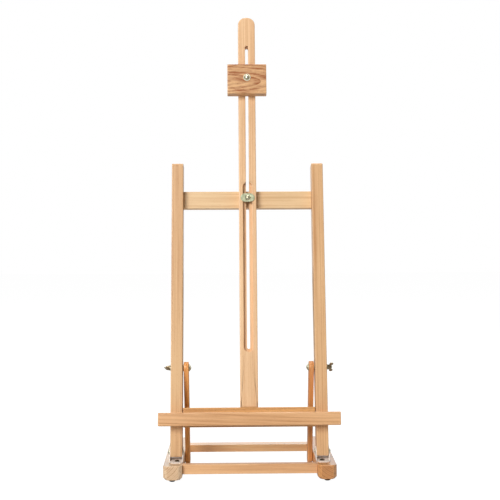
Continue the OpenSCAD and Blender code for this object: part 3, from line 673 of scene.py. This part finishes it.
groove_floor = mast_front + groove_d
# How strongly the painted highlight shows on the rounded rims: full on the outer rims, less on the slots'
# rims.
rim_highlight, slot_highlight = 1.0, 0.6
outer_grain = (np.abs(outer_out[:, 1]) > 0.75).astype(float)
mast_shell = levelled(
    rolled(opening_loop, opening_out, slot_ease, mast_front, 1, 0.0, slot_highlight)
    + [(opening_loop + opening_out * (slot_ease + slot_guard_in), mast_front, 0.0, 0.0),
       (outer_loop - outer_out * (mast_ease + guard_in), mast_front, 0.0, 0.0)]
    + rolled(outer_loop, -outer_out, mast_ease, mast_front, 1, outer_grain, rim_highlight)[::-1]
    + rolled(outer_loop, -outer_out, mast_ease, mast_back, -1, outer_grain, rim_highlight)
    + [(outer_loop - outer_out * (mast_ease + guard_in), mast_back, 0.0, 0.0),
       (slot_loop + slot_out * (slot_ease + slot_guard_in), mast_back, 0.0, 0.0)]
    + rolled(slot_loop, slot_out, slot_ease, mast_back, -1, 0.0, slot_highlight)[::-1]
    + [(slot_loop, groove_floor, 0.0, 0.0), (opening_loop, groove_floor, 0.0, 0.0)], 1)
mast_beech = beech("mast_beech", (239, 198, 152), (206, 149, 97),
                   (0, 0, 480), (10.8, 0, 66), (5, 100, 0), gap=3.9, rings=0.32, streaks=0.4,
                   flecks=0.25, figure=4)
mast = piece("mast_batten", [leaned(mast_shell)], mast_beech)
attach(mast, "mast_body")
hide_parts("mast")

# Clamp block: a short cross-grained block that slides on the mast and holds the top of a canvas.
# It is cut from figured wood near the heart of the tree, with dark streaks and tight rings.
block_half, block_h, block_mid, block_t, block_ease = 37.5, 59.0, 703.0, 18.0, 1.0
block_back = mast_front - 0.3
block_face = block_back - block_t
block_beech = beech("block_beech", (225, 178, 126), (154, 84, 35),
                    (0, 35, 740), (100.8, -79, 0), (-1, -7, 60), gap=5.4, rings=0.9, streaks=0.55,
                    flecks=0.2, figure=9)
block_outline = oblong(block_face, block_back, block_mid - block_h / 2, block_mid + block_h / 2)
block = piece("clamp_block_wood", [leaned(batten(block_outline, -block_half, block_half, block_ease,
                                                 (1, 2, 0)))], block_beech)
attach(block, "clamp")
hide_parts("clamp_block")

# Struts: two slotted arms from the rails to the inner sides of the uprights. Each turns on a screw in
# its rail and is clamped to its upright by a bolt in the slot, so the lean can be changed.
strut_out, strut_t, strut_r, strut_top = 120.4, 9.0, 11.5, 183.062
strut_y, strut_z, strut_tilt = 3.0, 18.5, math.radians(15.9195)
strut_slot_low, strut_slot_r = 56.0, 4.3
strut_ease, strut_slot_ease, strut_guard_in, strut_slot_guard_in = 1.0, 0.5, 1.2, 1.4


def strutted(shell):
    """From a strut's own axes, side, back and up its length, to its place on the rail."""
    x, back, up = shell["points"].T
    return {**shell, "points": np.column_stack([
        x, strut_y + back * math.cos(strut_tilt) - up * math.sin(strut_tilt),
        strut_z + back * math.sin(strut_tilt) + up * math.cos(strut_tilt)])}


strut_half = np.concatenate([arc((0, strut_top), strut_r, 90, 180, 13)[:-1],
                             line((-strut_r, strut_top), (-strut_r, 0), 12),
                             arc((0, 0), strut_r, 180, 270, 13)])
strut_slot_half = np.concatenate([arc((0, strut_top), strut_slot_r, 90, 180, 13)[:-1],
                                  line((-strut_slot_r, strut_top), (-strut_slot_r, strut_slot_low), 12),
                                  arc((0, strut_slot_low), strut_slot_r, 180, 270, 13)])
strut_loop, strut_slot_loop = both_halves(strut_half), both_halves(strut_slot_half)
strut_norm, strut_slot_norm = outward(strut_loop), outward(strut_slot_loop)
strut_in = strut_out - strut_t
strut_grain = (np.abs(strut_norm[:, 1]) > 0.75).astype(float)
strut_levels = []
for face, way in ((strut_in, 1), (strut_out, -1)):
    slot_to_side = (
        rolled(strut_slot_loop, strut_slot_norm, strut_slot_ease, face, way, 0.0, slot_highlight)
        + [(strut_slot_loop + strut_slot_norm * strut_slot_guard_in, face, 0.0, 0.0),
           (strut_loop - strut_norm * (strut_ease + strut_guard_in), face, 0.0, 0.0)]
        + rolled(strut_loop, -strut_norm, strut_ease, face, way, strut_grain, rim_highlight)[::-1])
    strut_levels += slot_to_side[::way]
strut_shell = strutted(levelled(strut_levels, 0))
# The left strut's colours are painted lighter than the right strut's: painted light that stands in for the
# light on its lower end.
strut_beech_left_painted_light = beech("strut_beech_left_painted_light", (252, 182, 104), (196, 112, 46),
                         (-115, 0, 110), (-15.92, 0, 70), (4, 60, 0), gap=3.4, rings=0.4, streaks=0.4,
                         flecks=0.25)
strut_beech_right = beech("strut_beech_right", (233, 164, 100), (167, 96, 45),
                          (115, 0, 110), (-15.92, 0, -60), (-4, 55, 400), gap=3.4, rings=0.4,
                          streaks=0.4, flecks=0.25)
for side, shell, material, body in (("left", mirrored(strut_shell), strut_beech_left_painted_light, "strut_l"),
                                    ("right", strut_shell, strut_beech_right, "strut_r")):
    strut = piece(f"strut_arm_{side}", [shell], material)
    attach(strut, body)
    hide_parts(f"strut_{side}")

# Feet: four moulded black rubber pads under the rails' ends, grey with dust. Each is a low round cushion
# with a fine groove round it, and one countersunk steel screw holds it to the rail.
foot_x, foot_y = 139.1, 115.0
rubber_dark, rubber_dusty = (40, 38, 37), (92, 86, 80)


def turned(profile, count=40, wave=None):
    """A turned shape: each profile point (radius, height) makes a ring round the upright axis.
    A wave adds to the radius by angle and height, as a thread does."""
    profile = np.asarray(profile, float)
    angle = np.linspace(0, 2 * math.pi, count, endpoint=False)
    radius = profile[:, :1] + (0 if wave is None else wave(angle[None], profile[:, 1:]))
    return np.stack([radius * np.cos(angle), radius * np.sin(angle),
                     np.repeat(profile[:, 1:], count, 1)], -1)


def plating_group():
    """Zinc plate: slow cloudy patches, fine scuffs that change the gloss, and a slight relief."""
    tree = finish_group("handled_metal", {"Vector": "Vector", "Bright": "Color", "Dull": "Color",
                                          "Patches": 0.5, "Gloss": 0.3})
    given = tree.nodes.new("NodeGroupInput").outputs
    cloud = add(tree, "ShaderNodeTexNoise", {"Vector": given["Vector"], "Scale": 210.0, "Detail": 3.0})
    cloud = add(tree, "ShaderNodeMapRange", {0: cloud.outputs[0], 1: 0.38, 2: 0.66},
                interpolation_type="SMOOTHSTEP")
    drawn = add(tree, "ShaderNodeVectorMath", {0: given["Vector"], 1: (2600.0, 700.0, 2600.0)},
                operation="MULTIPLY")
    scuff = add(tree, "ShaderNodeTexNoise", {"Vector": drawn.outputs[0], "Scale": 1.0, "Detail": 2.0})
    scuff = add(tree, "ShaderNodeMapRange", {0: scuff.outputs[0], 1: 0.45, 2: 0.75},
                interpolation_type="SMOOTHSTEP")
    share = add(tree, "ShaderNodeMath", {0: cloud.outputs[0], 1: given["Patches"]}, operation="MULTIPLY")
    tone = add(tree, "ShaderNodeMix", {0: share.outputs[0], 6: given["Bright"], 7: given["Dull"]},
               data_type="RGBA")
    rough = add(tree, "ShaderNodeMath", {0: cloud.outputs[0], 1: 0.12, 2: given["Gloss"]},
                operation="MULTIPLY_ADD")
    rough = add(tree, "ShaderNodeMath", {0: scuff.outputs[0], 1: 0.14, 2: rough.outputs[0]},
                operation="MULTIPLY_ADD")
    add(tree, "NodeGroupOutput", {"Color": tone.outputs[2], "Roughness": rough.outputs[0],
                                  "Height": scuff.outputs[0]})
    return tree


handled_metal = plating_group()


def metal(name, bright, dull, patches=0.6, gloss=0.28, bare=1.0):
    """Plated or blackened steel, between a bright and a dull tone. Patches say how much of the dull tone
    shows, gloss is the least roughness, and a thick dull plating is less bare."""
    material = bpy.data.materials.new(name)
    tree = blank_tree(material)
    place = add(tree, "ShaderNodeTexCoord")
    plate = add(tree, "ShaderNodeGroup", {"Vector": place.outputs["Object"], "Bright": shade(*bright),
                                          "Dull": shade(*dull), "Patches": patches, "Gloss": gloss},
                node_tree=handled_metal)
    bump = add(tree, "ShaderNodeBump", {"Strength": 0.12, "Distance": 0.0001,
                                        "Height": plate.outputs["Height"]})
    steel = add(tree, "ShaderNodeBsdfPrincipled", {"Base Color": plate.outputs["Color"], "Metallic": bare,
                                                   "Roughness": plate.outputs["Roughness"],
                                                   "Normal": bump.outputs[0]})
    add(tree, "ShaderNodeOutputMaterial", {"Surface": steel.outputs[0]})
    return material


rubber = bpy.data.materials.new("foot_rubber")
rubber_tree = blank_tree(rubber)
rubber_place = add(rubber_tree, "ShaderNodeTexCoord")
rubber_grit = add(rubber_tree, "ShaderNodeTexNoise", {"Vector": rubber_place.outputs["Object"],
                                                      "Scale": 1400.0, "Detail": 2.0})
rubber_dust = add(rubber_tree, "ShaderNodeTexNoise", {"Vector": rubber_place.outputs["Object"],
                                                      "Scale": 160.0, "Detail": 3.0})
rubber_tone = add(rubber_tree, "ShaderNodeMix", {0: rubber_dust.outputs[0], 6: shade(*rubber_dark),
                                                 7: shade(*rubber_dusty)}, data_type="RGBA")
rubber_bump = add(rubber_tree, "ShaderNodeBump", {"Strength": 0.3, "Distance": 0.0001,
                                                  "Height": rubber_grit.outputs[0]})
rubber_rough = add(rubber_tree, "ShaderNodeMapRange", {0: rubber_dust.outputs[0], 3: 0.5, 4: 0.85})
rubber_skin = add(rubber_tree, "ShaderNodeBsdfPrincipled", {"Base Color": rubber_tone.outputs[2],
                                                            "Roughness": rubber_rough.outputs[0],
                                                            "Normal": rubber_bump.outputs[0]})
add(rubber_tree, "ShaderNodeOutputMaterial", {"Surface": rubber_skin.outputs[0]})
foot_profile = [(0.3, 1.5), (2.3, 1.5), (2.5, 1.2), (2.6, 0.4), (2.9, 0.06), (3.5, 0.0), (4.1, 0.12),
                (4.8, 0.5), (5.4, 1.1), (5.8, 1.8), (6.05, 2.6), (6.15, 3.4), (6.1, 3.6), (5.9, 3.75),
                (5.9, 4.1), (6.15, 4.3), (6.25, 4.6), (6.25, 5.7), (6.1, 5.97), (0.3, 6.0)]
foot_shell = skin(turned(foot_profile))
feet = piece("rubber_foot_pads", [moved(foot_shell, (x, y, 0)) for x in (-foot_x, foot_x)
                                  for y in (-foot_y, foot_y)], rubber, smooth=50)
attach(feet, "base")
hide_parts("rubber_feet")
screw_steel = metal("screw_steel", (196, 190, 178), (150, 142, 126), gloss=0.3)
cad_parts["foot_screws"].material_slots[0].material = screw_steel

# Brackets: one strip of zinc-plated steel each, bent up into two ears that hold the post between them.
# The base plate lies on the rail and has a screw at each end.
ear_in, ear_out, sheet_t = 120.9, 145.4, 1.2
plate_front, plate_rear, plate_corner = -35.0, 32.0, 4.5
ear_front, ear_rear, ear_r, ear_z = -25.0, 22.0, 9.0, 13.5
bend_out, bend_in, edge_round = 1.9, 0.7, 0.22
front_tangent = (-6.56, 6.16)
rear_tangent = (7.08, 5.55)
corner_in = plate_corner * (1 - np.cos(np.linspace(0, math.pi / 2, 8)))
arc_from, arc_to = math.asin(front_tangent[0] / ear_r), math.asin(rear_tangent[0] / ear_r)
along_plate = np.unique(np.concatenate([
    plate_front + corner_in, np.linspace(plate_front + plate_corner, ear_front, 4),
    np.linspace(ear_front, front_tangent[0], 14), ear_r * np.sin(np.linspace(arc_from, arc_to, 22)),
    np.linspace(rear_tangent[0], ear_rear, 10), np.linspace(ear_rear, plate_rear - plate_corner, 4),
    plate_rear - corner_in]))
ear_line = np.interp(along_plate, [ear_front, front_tangent[0], rear_tangent[0], ear_rear],
                     [0.0, ear_z + front_tangent[1], ear_z + rear_tangent[1], 0.0])
ear_arc = ear_z + np.sqrt(np.maximum(ear_r ** 2 - along_plate ** 2, 0))
on_arc = (along_plate > front_tangent[0]) & (along_plate < rear_tangent[0])
ear_high = np.maximum(np.where(on_arc, ear_arc, ear_line), sheet_t)
half_w = (ear_out - ear_in) / 2
full_up = 23.0
outer_bend = arc((half_w - bend_out, bend_out), bend_out, -90, 0, 6)
inner_bend = arc((half_w - sheet_t - bend_in, sheet_t + bend_in), bend_in, 0, -90, 5)
outer_wall = np.column_stack([np.full(8, half_w), np.linspace(bend_out, full_up, 9)[1:]])
inner_wall = np.column_stack([np.full(8, half_w - sheet_t),
                              np.linspace(full_up, sheet_t + bend_in, 9)[:-1]])
strip_half = np.concatenate([[[0.0, 0.0]], outer_bend, outer_wall, inner_wall, inner_bend,
                             [[0.0, sheet_t]]])
strip = np.concatenate([strip_half, strip_half[-2:0:-1] * [-1, 1]])
from_tip = np.minimum(along_plate - plate_front, plate_rear - along_plate)
into_corner = np.maximum(plate_corner - from_tip, 0)
narrow = plate_corner - np.sqrt(np.maximum(plate_corner ** 2 - into_corner ** 2, 0))
reach = (half_w - narrow) / half_w
rise = np.minimum(strip[None, :, 1], ear_high[:, None])
bracket_points = np.stack([(ear_in + ear_out) / 2 + strip[None, :, 0] * reach[:, None],
                           np.repeat(pivot_y + along_plate[:, None], len(strip), 1),
                           rail_top + rise], -1)
bracket_edge = (np.abs(rise - ear_high[:, None]) < 0.01) & (ear_high[:, None] > sheet_t + 0.01)
bracket_shell = skin(bracket_points, 0.0, bracket_edge.astype(float))
# The brackets' zinc is a near-white matt colour with no metal in it: its own pale plating together with a
# painted reflection of the bright surroundings.
bracket_zinc_painted_reflection = metal("bracket_zinc_painted_reflection", (255, 247, 240), (240, 228, 208), patches=0.5, gloss=0.5, bare=0.0)
for side, shell in (("left", mirrored(bracket_shell)), ("right", bracket_shell)):
    bracket = piece(f"post_bracket_{side}", [shell], bracket_zinc_painted_reflection, smooth=40)
    rounded = bracket.modifiers.new("rolled_edges", "BEVEL")
    rounded.width = edge_round / 1000.0
    rounded.segments = 2
    rounded.limit_method = "ANGLE"
    rounded.angle_limit = math.radians(50)
    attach(bracket, "base")
    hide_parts(f"bracket_{side}")

# Bracket screws: dark round-headed steel wood screws with a cross recess. Two go through each base
# plate into the rail, one in front of the post and one behind it.
screw_ys, screw_x = (-97.0, -51.0), 131.15
screw_head_r, screw_head_h, screw_recess = 4.6, 3.0, 1.5
plate_top = rail_top + sheet_t


def cross_head(radius, high, skirt, recess=0.0, arm=0.62, count=48):
    """A screw head, its face upwards: a low ball cap over a short skirt. A cross recess goes down in
    the middle, its depth the product of smooth steps across and along each arm."""
    ball = (radius ** 2 + high ** 2) / (2 * high)
    share = np.linspace(0.0, 1.0, 18)[1:]
    angle = np.linspace(0, 2 * math.pi, count, endpoint=False)
    r = (share * radius)[::-1, None]
    top = high - ball + np.sqrt(ball ** 2 - r ** 2) + 0 * angle
    x, y = r * np.cos(angle), r * np.sin(angle)
    long, wide = arm * radius, 0.14 * radius

    def arm_depth(u, v):
        """One arm of the cross: deep within its width across v, and shallower towards its ends along u."""
        side_step = np.clip((wide + 0.35 - np.abs(v)) / 0.35, 0, 1)
        end_step = np.clip((long - np.abs(u)) / (0.5 * long), 0, 1)
        return side_step * end_step

    top = top - recess * np.maximum(arm_depth(x, y), arm_depth(y, x))
    cap = np.stack([x, y, top], -1)
    foot, base = (np.stack([part * radius * np.cos(angle), part * radius * np.sin(angle),
                            np.full(count, -skirt)], -1) for part in (0.3, 1.0))
    middle = np.array([[[0.0, 0.0, high - recess]]]) + 0 * cap[:1]
    return skin(np.concatenate([foot[None], base[None], cap, middle]))


def turned_to(shell, out):
    """A shell drawn upwards, turned so that up points out: to the right, left, front or back."""
    x, y, z = shell["points"].T
    points = {"right": (z, y, -x), "left": (-z, y, x), "front": (x, -z, y), "back": (x, z, -y)}[out]
    return {**shell, "points": np.column_stack(points)}


dark_screw = metal("dark_screw", (92, 82, 68), (58, 50, 42), patches=0.6, gloss=0.3)
bracket_head = cross_head(screw_head_r, screw_head_h, 0.0, recess=screw_recess)
bracket_heads = piece("bracket_screw_heads",
                      [moved(bracket_head, (x, y, plate_top)) for x in (-screw_x, screw_x)
                       for y in screw_ys], dark_screw, smooth=50)
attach(bracket_heads, "base")
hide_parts("bracket_screws")

# Pivot bolts: a domed zinc-plated bolt through each bracket and post, on which the easel's frame leans.
# It is screwed into a low round nut on the inner ear.
bolt_r, thread_pitch = 3.0, 1.0
pivot_head_r, pivot_head_h, pivot_nut_h = 5.3, 3.4, 1.8


def thread(pitch, depth):
    """A thread's cut: the radius falls by the depth in a V, once for each pitch of height and turn."""
    def cut(angle, height):
        """What the thread takes off the radius at an angle and a height."""
        turn = (height / pitch - angle / (2 * math.pi)) % 1.0
        return -depth * np.clip(1.35 * np.abs(2 * turn - 1) - 0.2, 0, 1)

    return cut


def threaded_end(radius, low, high, pitch):
    """The threaded length of a bolt from low to high, with a chamfered tip, as a closed shell."""
    steps = np.arange(low, high - 0.7, pitch / 6)
    body = np.column_stack([np.full(len(steps), radius), steps])
    tip = [(radius - 0.25, high - 0.45), (radius - 0.75, high), (0.2, high)]
    cut = thread(pitch, 0.12 * radius + 0.15)

    def fading(angle, height):
        """The thread's cut, which runs out over the last turn."""
        return cut(angle, height) * np.clip((high - 0.5 - height) / pitch, 0, 1)

    return skin(np.concatenate([turned([(0.2, low)], 24), turned(body, 24, fading), turned(tip, 24)]))


def dome_head(radius, high):
    """A plain domed bolt head: a ball cap with a small rounded rim, on the plane at height 0."""
    ball = (radius ** 2 + high ** 2) / (2 * high)
    r = radius * np.sin(np.linspace(0.02, math.pi / 2, 16))
    cap = np.column_stack([r, high - ball + np.sqrt(ball ** 2 - r ** 2)])[::-1]
    cap[:, 1] = np.maximum(cap[:, 1], 0.0)
    rim = [(0.3, 0.0), (radius - 0.25, 0.0), (radius, 0.2)]
    cap[0] = (radius - 0.05, 0.55)
    return skin(turned(np.concatenate([rim, cap]), 40))


def shank(radius, low, high):
    """The plain part of a bolt: a cylinder from low to high, a hair thinner than the bolt's radius."""
    return skin(turned([(0.2, low), (radius - 0.02, low), (radius - 0.02, high), (0.2, high)], 24))


def seated(shell, out, place):
    """A shell drawn upwards from height 0, turned to point out and moved to its place."""
    return moved(turned_to(shell, out), place)


def both_sides(shells):
    """Shells on the right of the easel, and then their mirror images on the left."""
    return shells + [mirrored(shell) for shell in shells]


zinc = metal("yellow_zinc", (206, 202, 176), (164, 156, 122), patches=0.7, gloss=0.22)
pivot_bolt = [seated(dome_head(pivot_head_r, pivot_head_h), "right", (ear_out, pivot_y, pivot_z)),
              seated(shank(bolt_r, ear_in, ear_out), "right", (0, pivot_y, pivot_z))]
pivot_bolts = piece("pivot_bolt_pair", both_sides(pivot_bolt), zinc, smooth=40)
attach(pivot_bolts, "base")
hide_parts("pivot_bolts")
pivot_nut = seated(dome_head(pivot_head_r, pivot_nut_h), "left", (ear_in, pivot_y, pivot_z))
pivot_nuts = piece("pivot_nut_pair", both_sides([pivot_nut]), zinc, smooth=40)
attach(pivot_nuts, "base")
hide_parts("pivot_nuts")

# Strut screws: each strut turns on a long countersunk steel screw in its rail. The head's low dome
# stands just proud of the strut's inner face and has a cross recess.
strut_screw_r, strut_screw_h, strut_screw_skirt, strut_screw_recess = 5.5, 0.5, 1.5, 1.6
strut_screw_head = cross_head(strut_screw_r, strut_screw_h, strut_screw_skirt, strut_screw_recess)
strut_screw = [seated(strut_screw_head, "left", (strut_in, strut_y, strut_z)),
               seated(shank(bolt_r, strut_out - 1.0, rail_x + 4.0), "right", (0, strut_y, strut_z))]
strut_screws = piece("strut_screw_pair", both_sides(strut_screw), zinc, smooth=50)
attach(strut_screws, "base")
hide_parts("strut_pivot_screws")

# Tray screws: long countersunk screws from behind, one through each post and three through the rear
# board into the lip.
lip_mid, post_screw_x, board_screw_x = lip_top - lip_h / 2, 133.15, 75.0
tray_screw_r, tray_screw_h, tray_screw_skirt, tray_screw_recess = 4.2, 0.9, 2.0, 1.5
tray_head = cross_head(tray_screw_r, tray_screw_h, tray_screw_skirt, tray_screw_recess)
post_screws = piece("post_screw_heads", [leaned(seated(tray_head, "back", (x, post_half_d, lip_mid)))
                                         for x in (-post_screw_x, post_screw_x)],
                    screw_steel, smooth=50)
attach(post_screws, "frame")
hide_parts("lip_screws")
board_screws = piece("board_screw_heads", [leaned(seated(tray_head, "back", (x, board_rear, lip_mid)))
                                           for x in (-board_screw_x, 0.0, board_screw_x)],
                     screw_steel, smooth=50)
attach(board_screws, "frame")
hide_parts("board_screws")

# Strut bolts: a domed bolt from the inside through each strut's slot and post. It has a washer on each
# side of the strut and one under the wing nut.
washer_t, washer_r, gap = 1.2, 6.6, 0.3
strut_head_x = strut_in - gap
strut_head_r, strut_head_h = 5.8, 3.2


def round_washer(radius, hole, thick):
    """A flat washer on height 0: a rectangle with its four corners cut off, turned round the axis."""
    cut = 0.22
    loop = [(hole, cut), (hole + cut, 0.0), (radius - cut, 0.0), (radius, cut), (radius, thick - cut),
            (radius - cut, thick), (hole + cut, thick), (hole, thick - cut), (hole, cut)]
    return skin(turned(loop, 48), caps=False)


washer_zinc = metal("washer_zinc", (214, 212, 190), (180, 176, 148), patches=0.6, gloss=0.34, bare=0.4)
strut_s, post_out = 153.0, post_x + post_w
nut_gap, hub_h, tail = 0.3, 7.6, 1.5
strut_nut_at = post_out + washer_t + nut_gap


def clamp_bolt(head_r, head_h, radius, pitch, start, plain_to, end, out, height):
    """A bolt square through the leaning frame at a height up the posts: a domed head at the start, a
    plain shank and then a thread to the end, all measured along the way out, right or back."""
    head_at = {"right": (start, 0, height), "back": (0, start, height)}[out]
    return [leaned(seated(dome_head(head_r, head_h), {"right": "left", "back": "front"}[out], head_at)),
            leaned(seated(shank(radius, start, plain_to), out, (0, 0, height))),
            leaned(seated(threaded_end(radius, plain_to, end, pitch), out, (0, 0, height)))]


strut_bolt = clamp_bolt(strut_head_r, strut_head_h, bolt_r, thread_pitch, strut_head_x - washer_t,
                        post_out, strut_nut_at + hub_h + tail, "right", strut_s)
strut_bolts = piece("strut_bolt_pair", both_sides(strut_bolt), zinc, smooth=40)
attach(strut_bolts, "frame")
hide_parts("strut_bolts")
for name, node, start, thick, out in (
        ("strut_head_washer_pair", "strut_head_washers", strut_head_x, washer_t, "left"),
        ("strut_spacer_pair", "strut_spacers", strut_out + gap, post_x - strut_out - gap, "right"),
        ("strut_nut_washer_pair", "strut_nut_washers", post_out, washer_t, "right")):
    ring = leaned(seated(round_washer(washer_r, bolt_r, thick), out, (start, 0, strut_s)))
    washers = piece(name, both_sides([ring]), washer_zinc, smooth=40)
    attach(washers, "frame")
    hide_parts(node)

# Wing nuts: cast nuts with two thin rounded wings that sweep outwards. One clamps each strut, one the
# mast and one the block.
hub_low_r, hub_top_r, wing_t = 4.9, 3.8, 2.4
wing_out, wing_up, wing_r = 10.2, 7.6, 3.6


def wing_nut(hole, turn):
    """A wing nut on height 0. The hub is turned; each wing is an oval section carried outwards, its
    height between the lower and upper edge of the wing's outline and its thickness least at the tip."""
    hub = skin(turned([
        (hole, 0.0), (hub_low_r - 0.3, 0.0), (hub_low_r, 0.35), (hub_low_r - 0.25, 1.2),
        (hub_top_r + 0.35, 4.2), (hub_top_r, hub_h - 1.0), (hub_top_r - 0.15, hub_h - 0.35),
        (hub_top_r - 0.6, hub_h), (hole + 0.5, hub_h), (hole, hub_h - 0.5), (hole, 0.0)], 40), caps=False)
    out = np.concatenate([np.linspace(hole + 0.6, wing_out, 12)[:-1],
                          wing_out + wing_r * np.sin(np.linspace(0, math.pi / 2, 12))])
    circle_half = np.sqrt(np.maximum(wing_r ** 2 - np.maximum(out - wing_out, 0) ** 2, 0.0025))
    low = np.interp(out, [hole, hub_low_r + 0.6, wing_out - 1.2], [0.9, 1.6, wing_up - wing_r + 0.5])
    high = np.interp(out, [hole, hub_top_r + 1.0, wing_out - 1.6],
                     [hub_h - 1.6, hub_h - 0.9, wing_up + wing_r - 0.3])
    blend = np.clip((out - (wing_out - 2.2)) / 2.2, 0, 1)
    blend = blend * blend * (3 - 2 * blend)
    low = low * (1 - blend) + (wing_up - circle_half) * blend
    high = high * (1 - blend) + (wing_up + circle_half) * blend
    thick = wing_t / 2 * (1.25 - 0.4 * np.clip((out - hole) / (wing_out - hole), 0, 1))
    thick = thick * np.clip(circle_half / wing_r * 1.5, 0.05, 1)
    angle = np.linspace(0, 2 * math.pi, 28, endpoint=False)
    bulge = np.sign(np.cos(angle)) * np.abs(np.cos(angle)) ** 0.8
    lift = np.sign(np.sin(angle)) * np.abs(np.sin(angle)) ** 0.8
    rings = np.stack([np.repeat(out[:, None], len(angle), 1), thick[:, None] * bulge,
                      ((high + low) / 2)[:, None] + ((high - low) / 2)[:, None] * lift], -1)
    wing = skin(rings)
    shells = [hub, wing, {**wing, "points": wing["points"] * [-1, -1, 1]}]
    cosine, sine = math.cos(math.radians(turn)), math.sin(math.radians(turn))
    spin = np.array([[cosine, sine, 0], [-sine, cosine, 0], [0, 0, 1]])
    return [{**shell, "points": shell["points"] @ spin} for shell in shells]


nut_metal = metal("nut_metal", (170, 152, 122), (112, 96, 74), patches=0.8, gloss=0.32)
for side, turn, body in (("left", 90.0, "strut_nut_l"), ("right", 60.0, "strut_nut_r")):
    shells = [leaned(seated(shell, "right", (strut_nut_at, 0, strut_s)))
              for shell in wing_nut(bolt_r, turn)]
    if side == "left":
        shells = [mirrored(shell) for shell in shells]
    nut = piece(f"strut_nut_{side}", shells, nut_metal, smooth=40)
    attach(nut, body)
    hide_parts(f"strut_wing_nut_{side}")

# Mast clamp: a domed bolt holds an oval zinc plate over the mast. A key on the back of the plate runs
# in the groove, and a washer and wing nut behind the crossbar pull it tight.
small_r, small_pitch, small_head_r, small_head_h, small_washer_r = 2.5, 0.8, 5.2, 3.2, 7.0
nut_turn = 30.0
plate_half_w, plate_r, plate_t, plate_ease = 13.3, 8.1, 1.6, 0.45
key_half, key_high, key_deep, key_ease = 8.2, 6.0, 5.0, 0.6
plate_face = mast_front - gap - plate_t
mast_nut_at = post_half_d + washer_t + nut_gap
mast_bolt = piece("mast_clamp_bolt", clamp_bolt(
    small_head_r, small_head_h, small_r, small_pitch, plate_face, post_half_d,
    mast_nut_at + hub_h + tail, "back", top_bar_s), zinc, smooth=40)
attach(mast_bolt, "frame")
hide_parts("mast_bolt")
oval_x = plate_half_w - plate_r
oval = np.concatenate([arc((oval_x, top_bar_s), plate_r, -90, 90, 25),
                       arc((-oval_x, top_bar_s), plate_r, 90, 270, 25)])
key_outline = oblong(-key_half, key_half, top_bar_s - key_high, top_bar_s + key_high)
plate_zinc = metal("plate_zinc", (182, 186, 154), (146, 148, 114), patches=0.8, gloss=0.4, bare=0.3)
plate = piece("mast_oval_plate", [
    leaned(slab(oval, plate_face, plate_face + plate_t, plate_ease, (0, 2, 1), guard=0.6)),
    leaned(batten(key_outline, plate_face + plate_t - 0.2, mast_front - gap + key_deep, key_ease,
                  (0, 2, 1)))], plate_zinc, smooth=40)
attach(plate, "frame")
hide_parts("mast_clamp_plate")
rear_washer = piece("mast_rear_washer", [leaned(seated(
    round_washer(small_washer_r, small_r, washer_t), "back", (0, post_half_d, top_bar_s)))],
    washer_zinc, smooth=40)
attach(rear_washer, "frame")
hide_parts("mast_washer")
mast_nut = piece("mast_rear_nut", [leaned(seated(shell, "back", (0, mast_nut_at, top_bar_s)))
                                   for shell in wing_nut(small_r, nut_turn)], nut_metal, smooth=40)
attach(mast_nut, "mast_nut")
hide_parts("mast_wing_nut")

# Block clamp: a domed bolt with a bright washer on the block's face, and a washer and wing nut behind
# the mast.
block_bolt_s = block_mid + 2.6
clamp_back = mast_back + gap
clamp_nut_at = clamp_back + washer_t + nut_gap
block_bolt = piece("block_clamp_bolt", clamp_bolt(
    small_head_r, small_head_h, small_r, small_pitch, block_face - washer_t, clamp_back,
    clamp_nut_at + hub_h + tail, "back", block_bolt_s), zinc, smooth=40)
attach(block_bolt, "clamp")
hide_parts("clamp_bolt")
for name, node, start, out in (("block_face_washer", "clamp_face_washer", block_face, "front"),
                               ("block_rear_washer", "clamp_back_washer", clamp_back, "back")):
    ring = seated(round_washer(small_washer_r, small_r, washer_t), out, (0, start, block_bolt_s))
    washer = piece(name, [leaned(ring)], washer_zinc, smooth=40)
    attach(washer, "clamp")
    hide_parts(node)
clamp_nut = piece("block_rear_nut", [leaned(seated(shell, "back", (0, clamp_nut_at, block_bolt_s)))
                                     for shell in wing_nut(small_r, -nut_turn)], nut_metal, smooth=40)
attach(clamp_nut, "clamp_nut")
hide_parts("clamp_wing_nut")

# Dowels: plain round beech pins inside the glued joints of the base and the upper crossbar. Nothing
# of them shows while the joints are closed.
dowel_beech = beech("dowel_beech", (232, 196, 152), (184, 138, 92), (0, 0, 0), (0, -90, 0),
                    (4, 40, 0), gap=2.5)
for node in ("base_dowels", "crossbar_dowels"):
    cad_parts[node].material_slots[0].material = dowel_beech
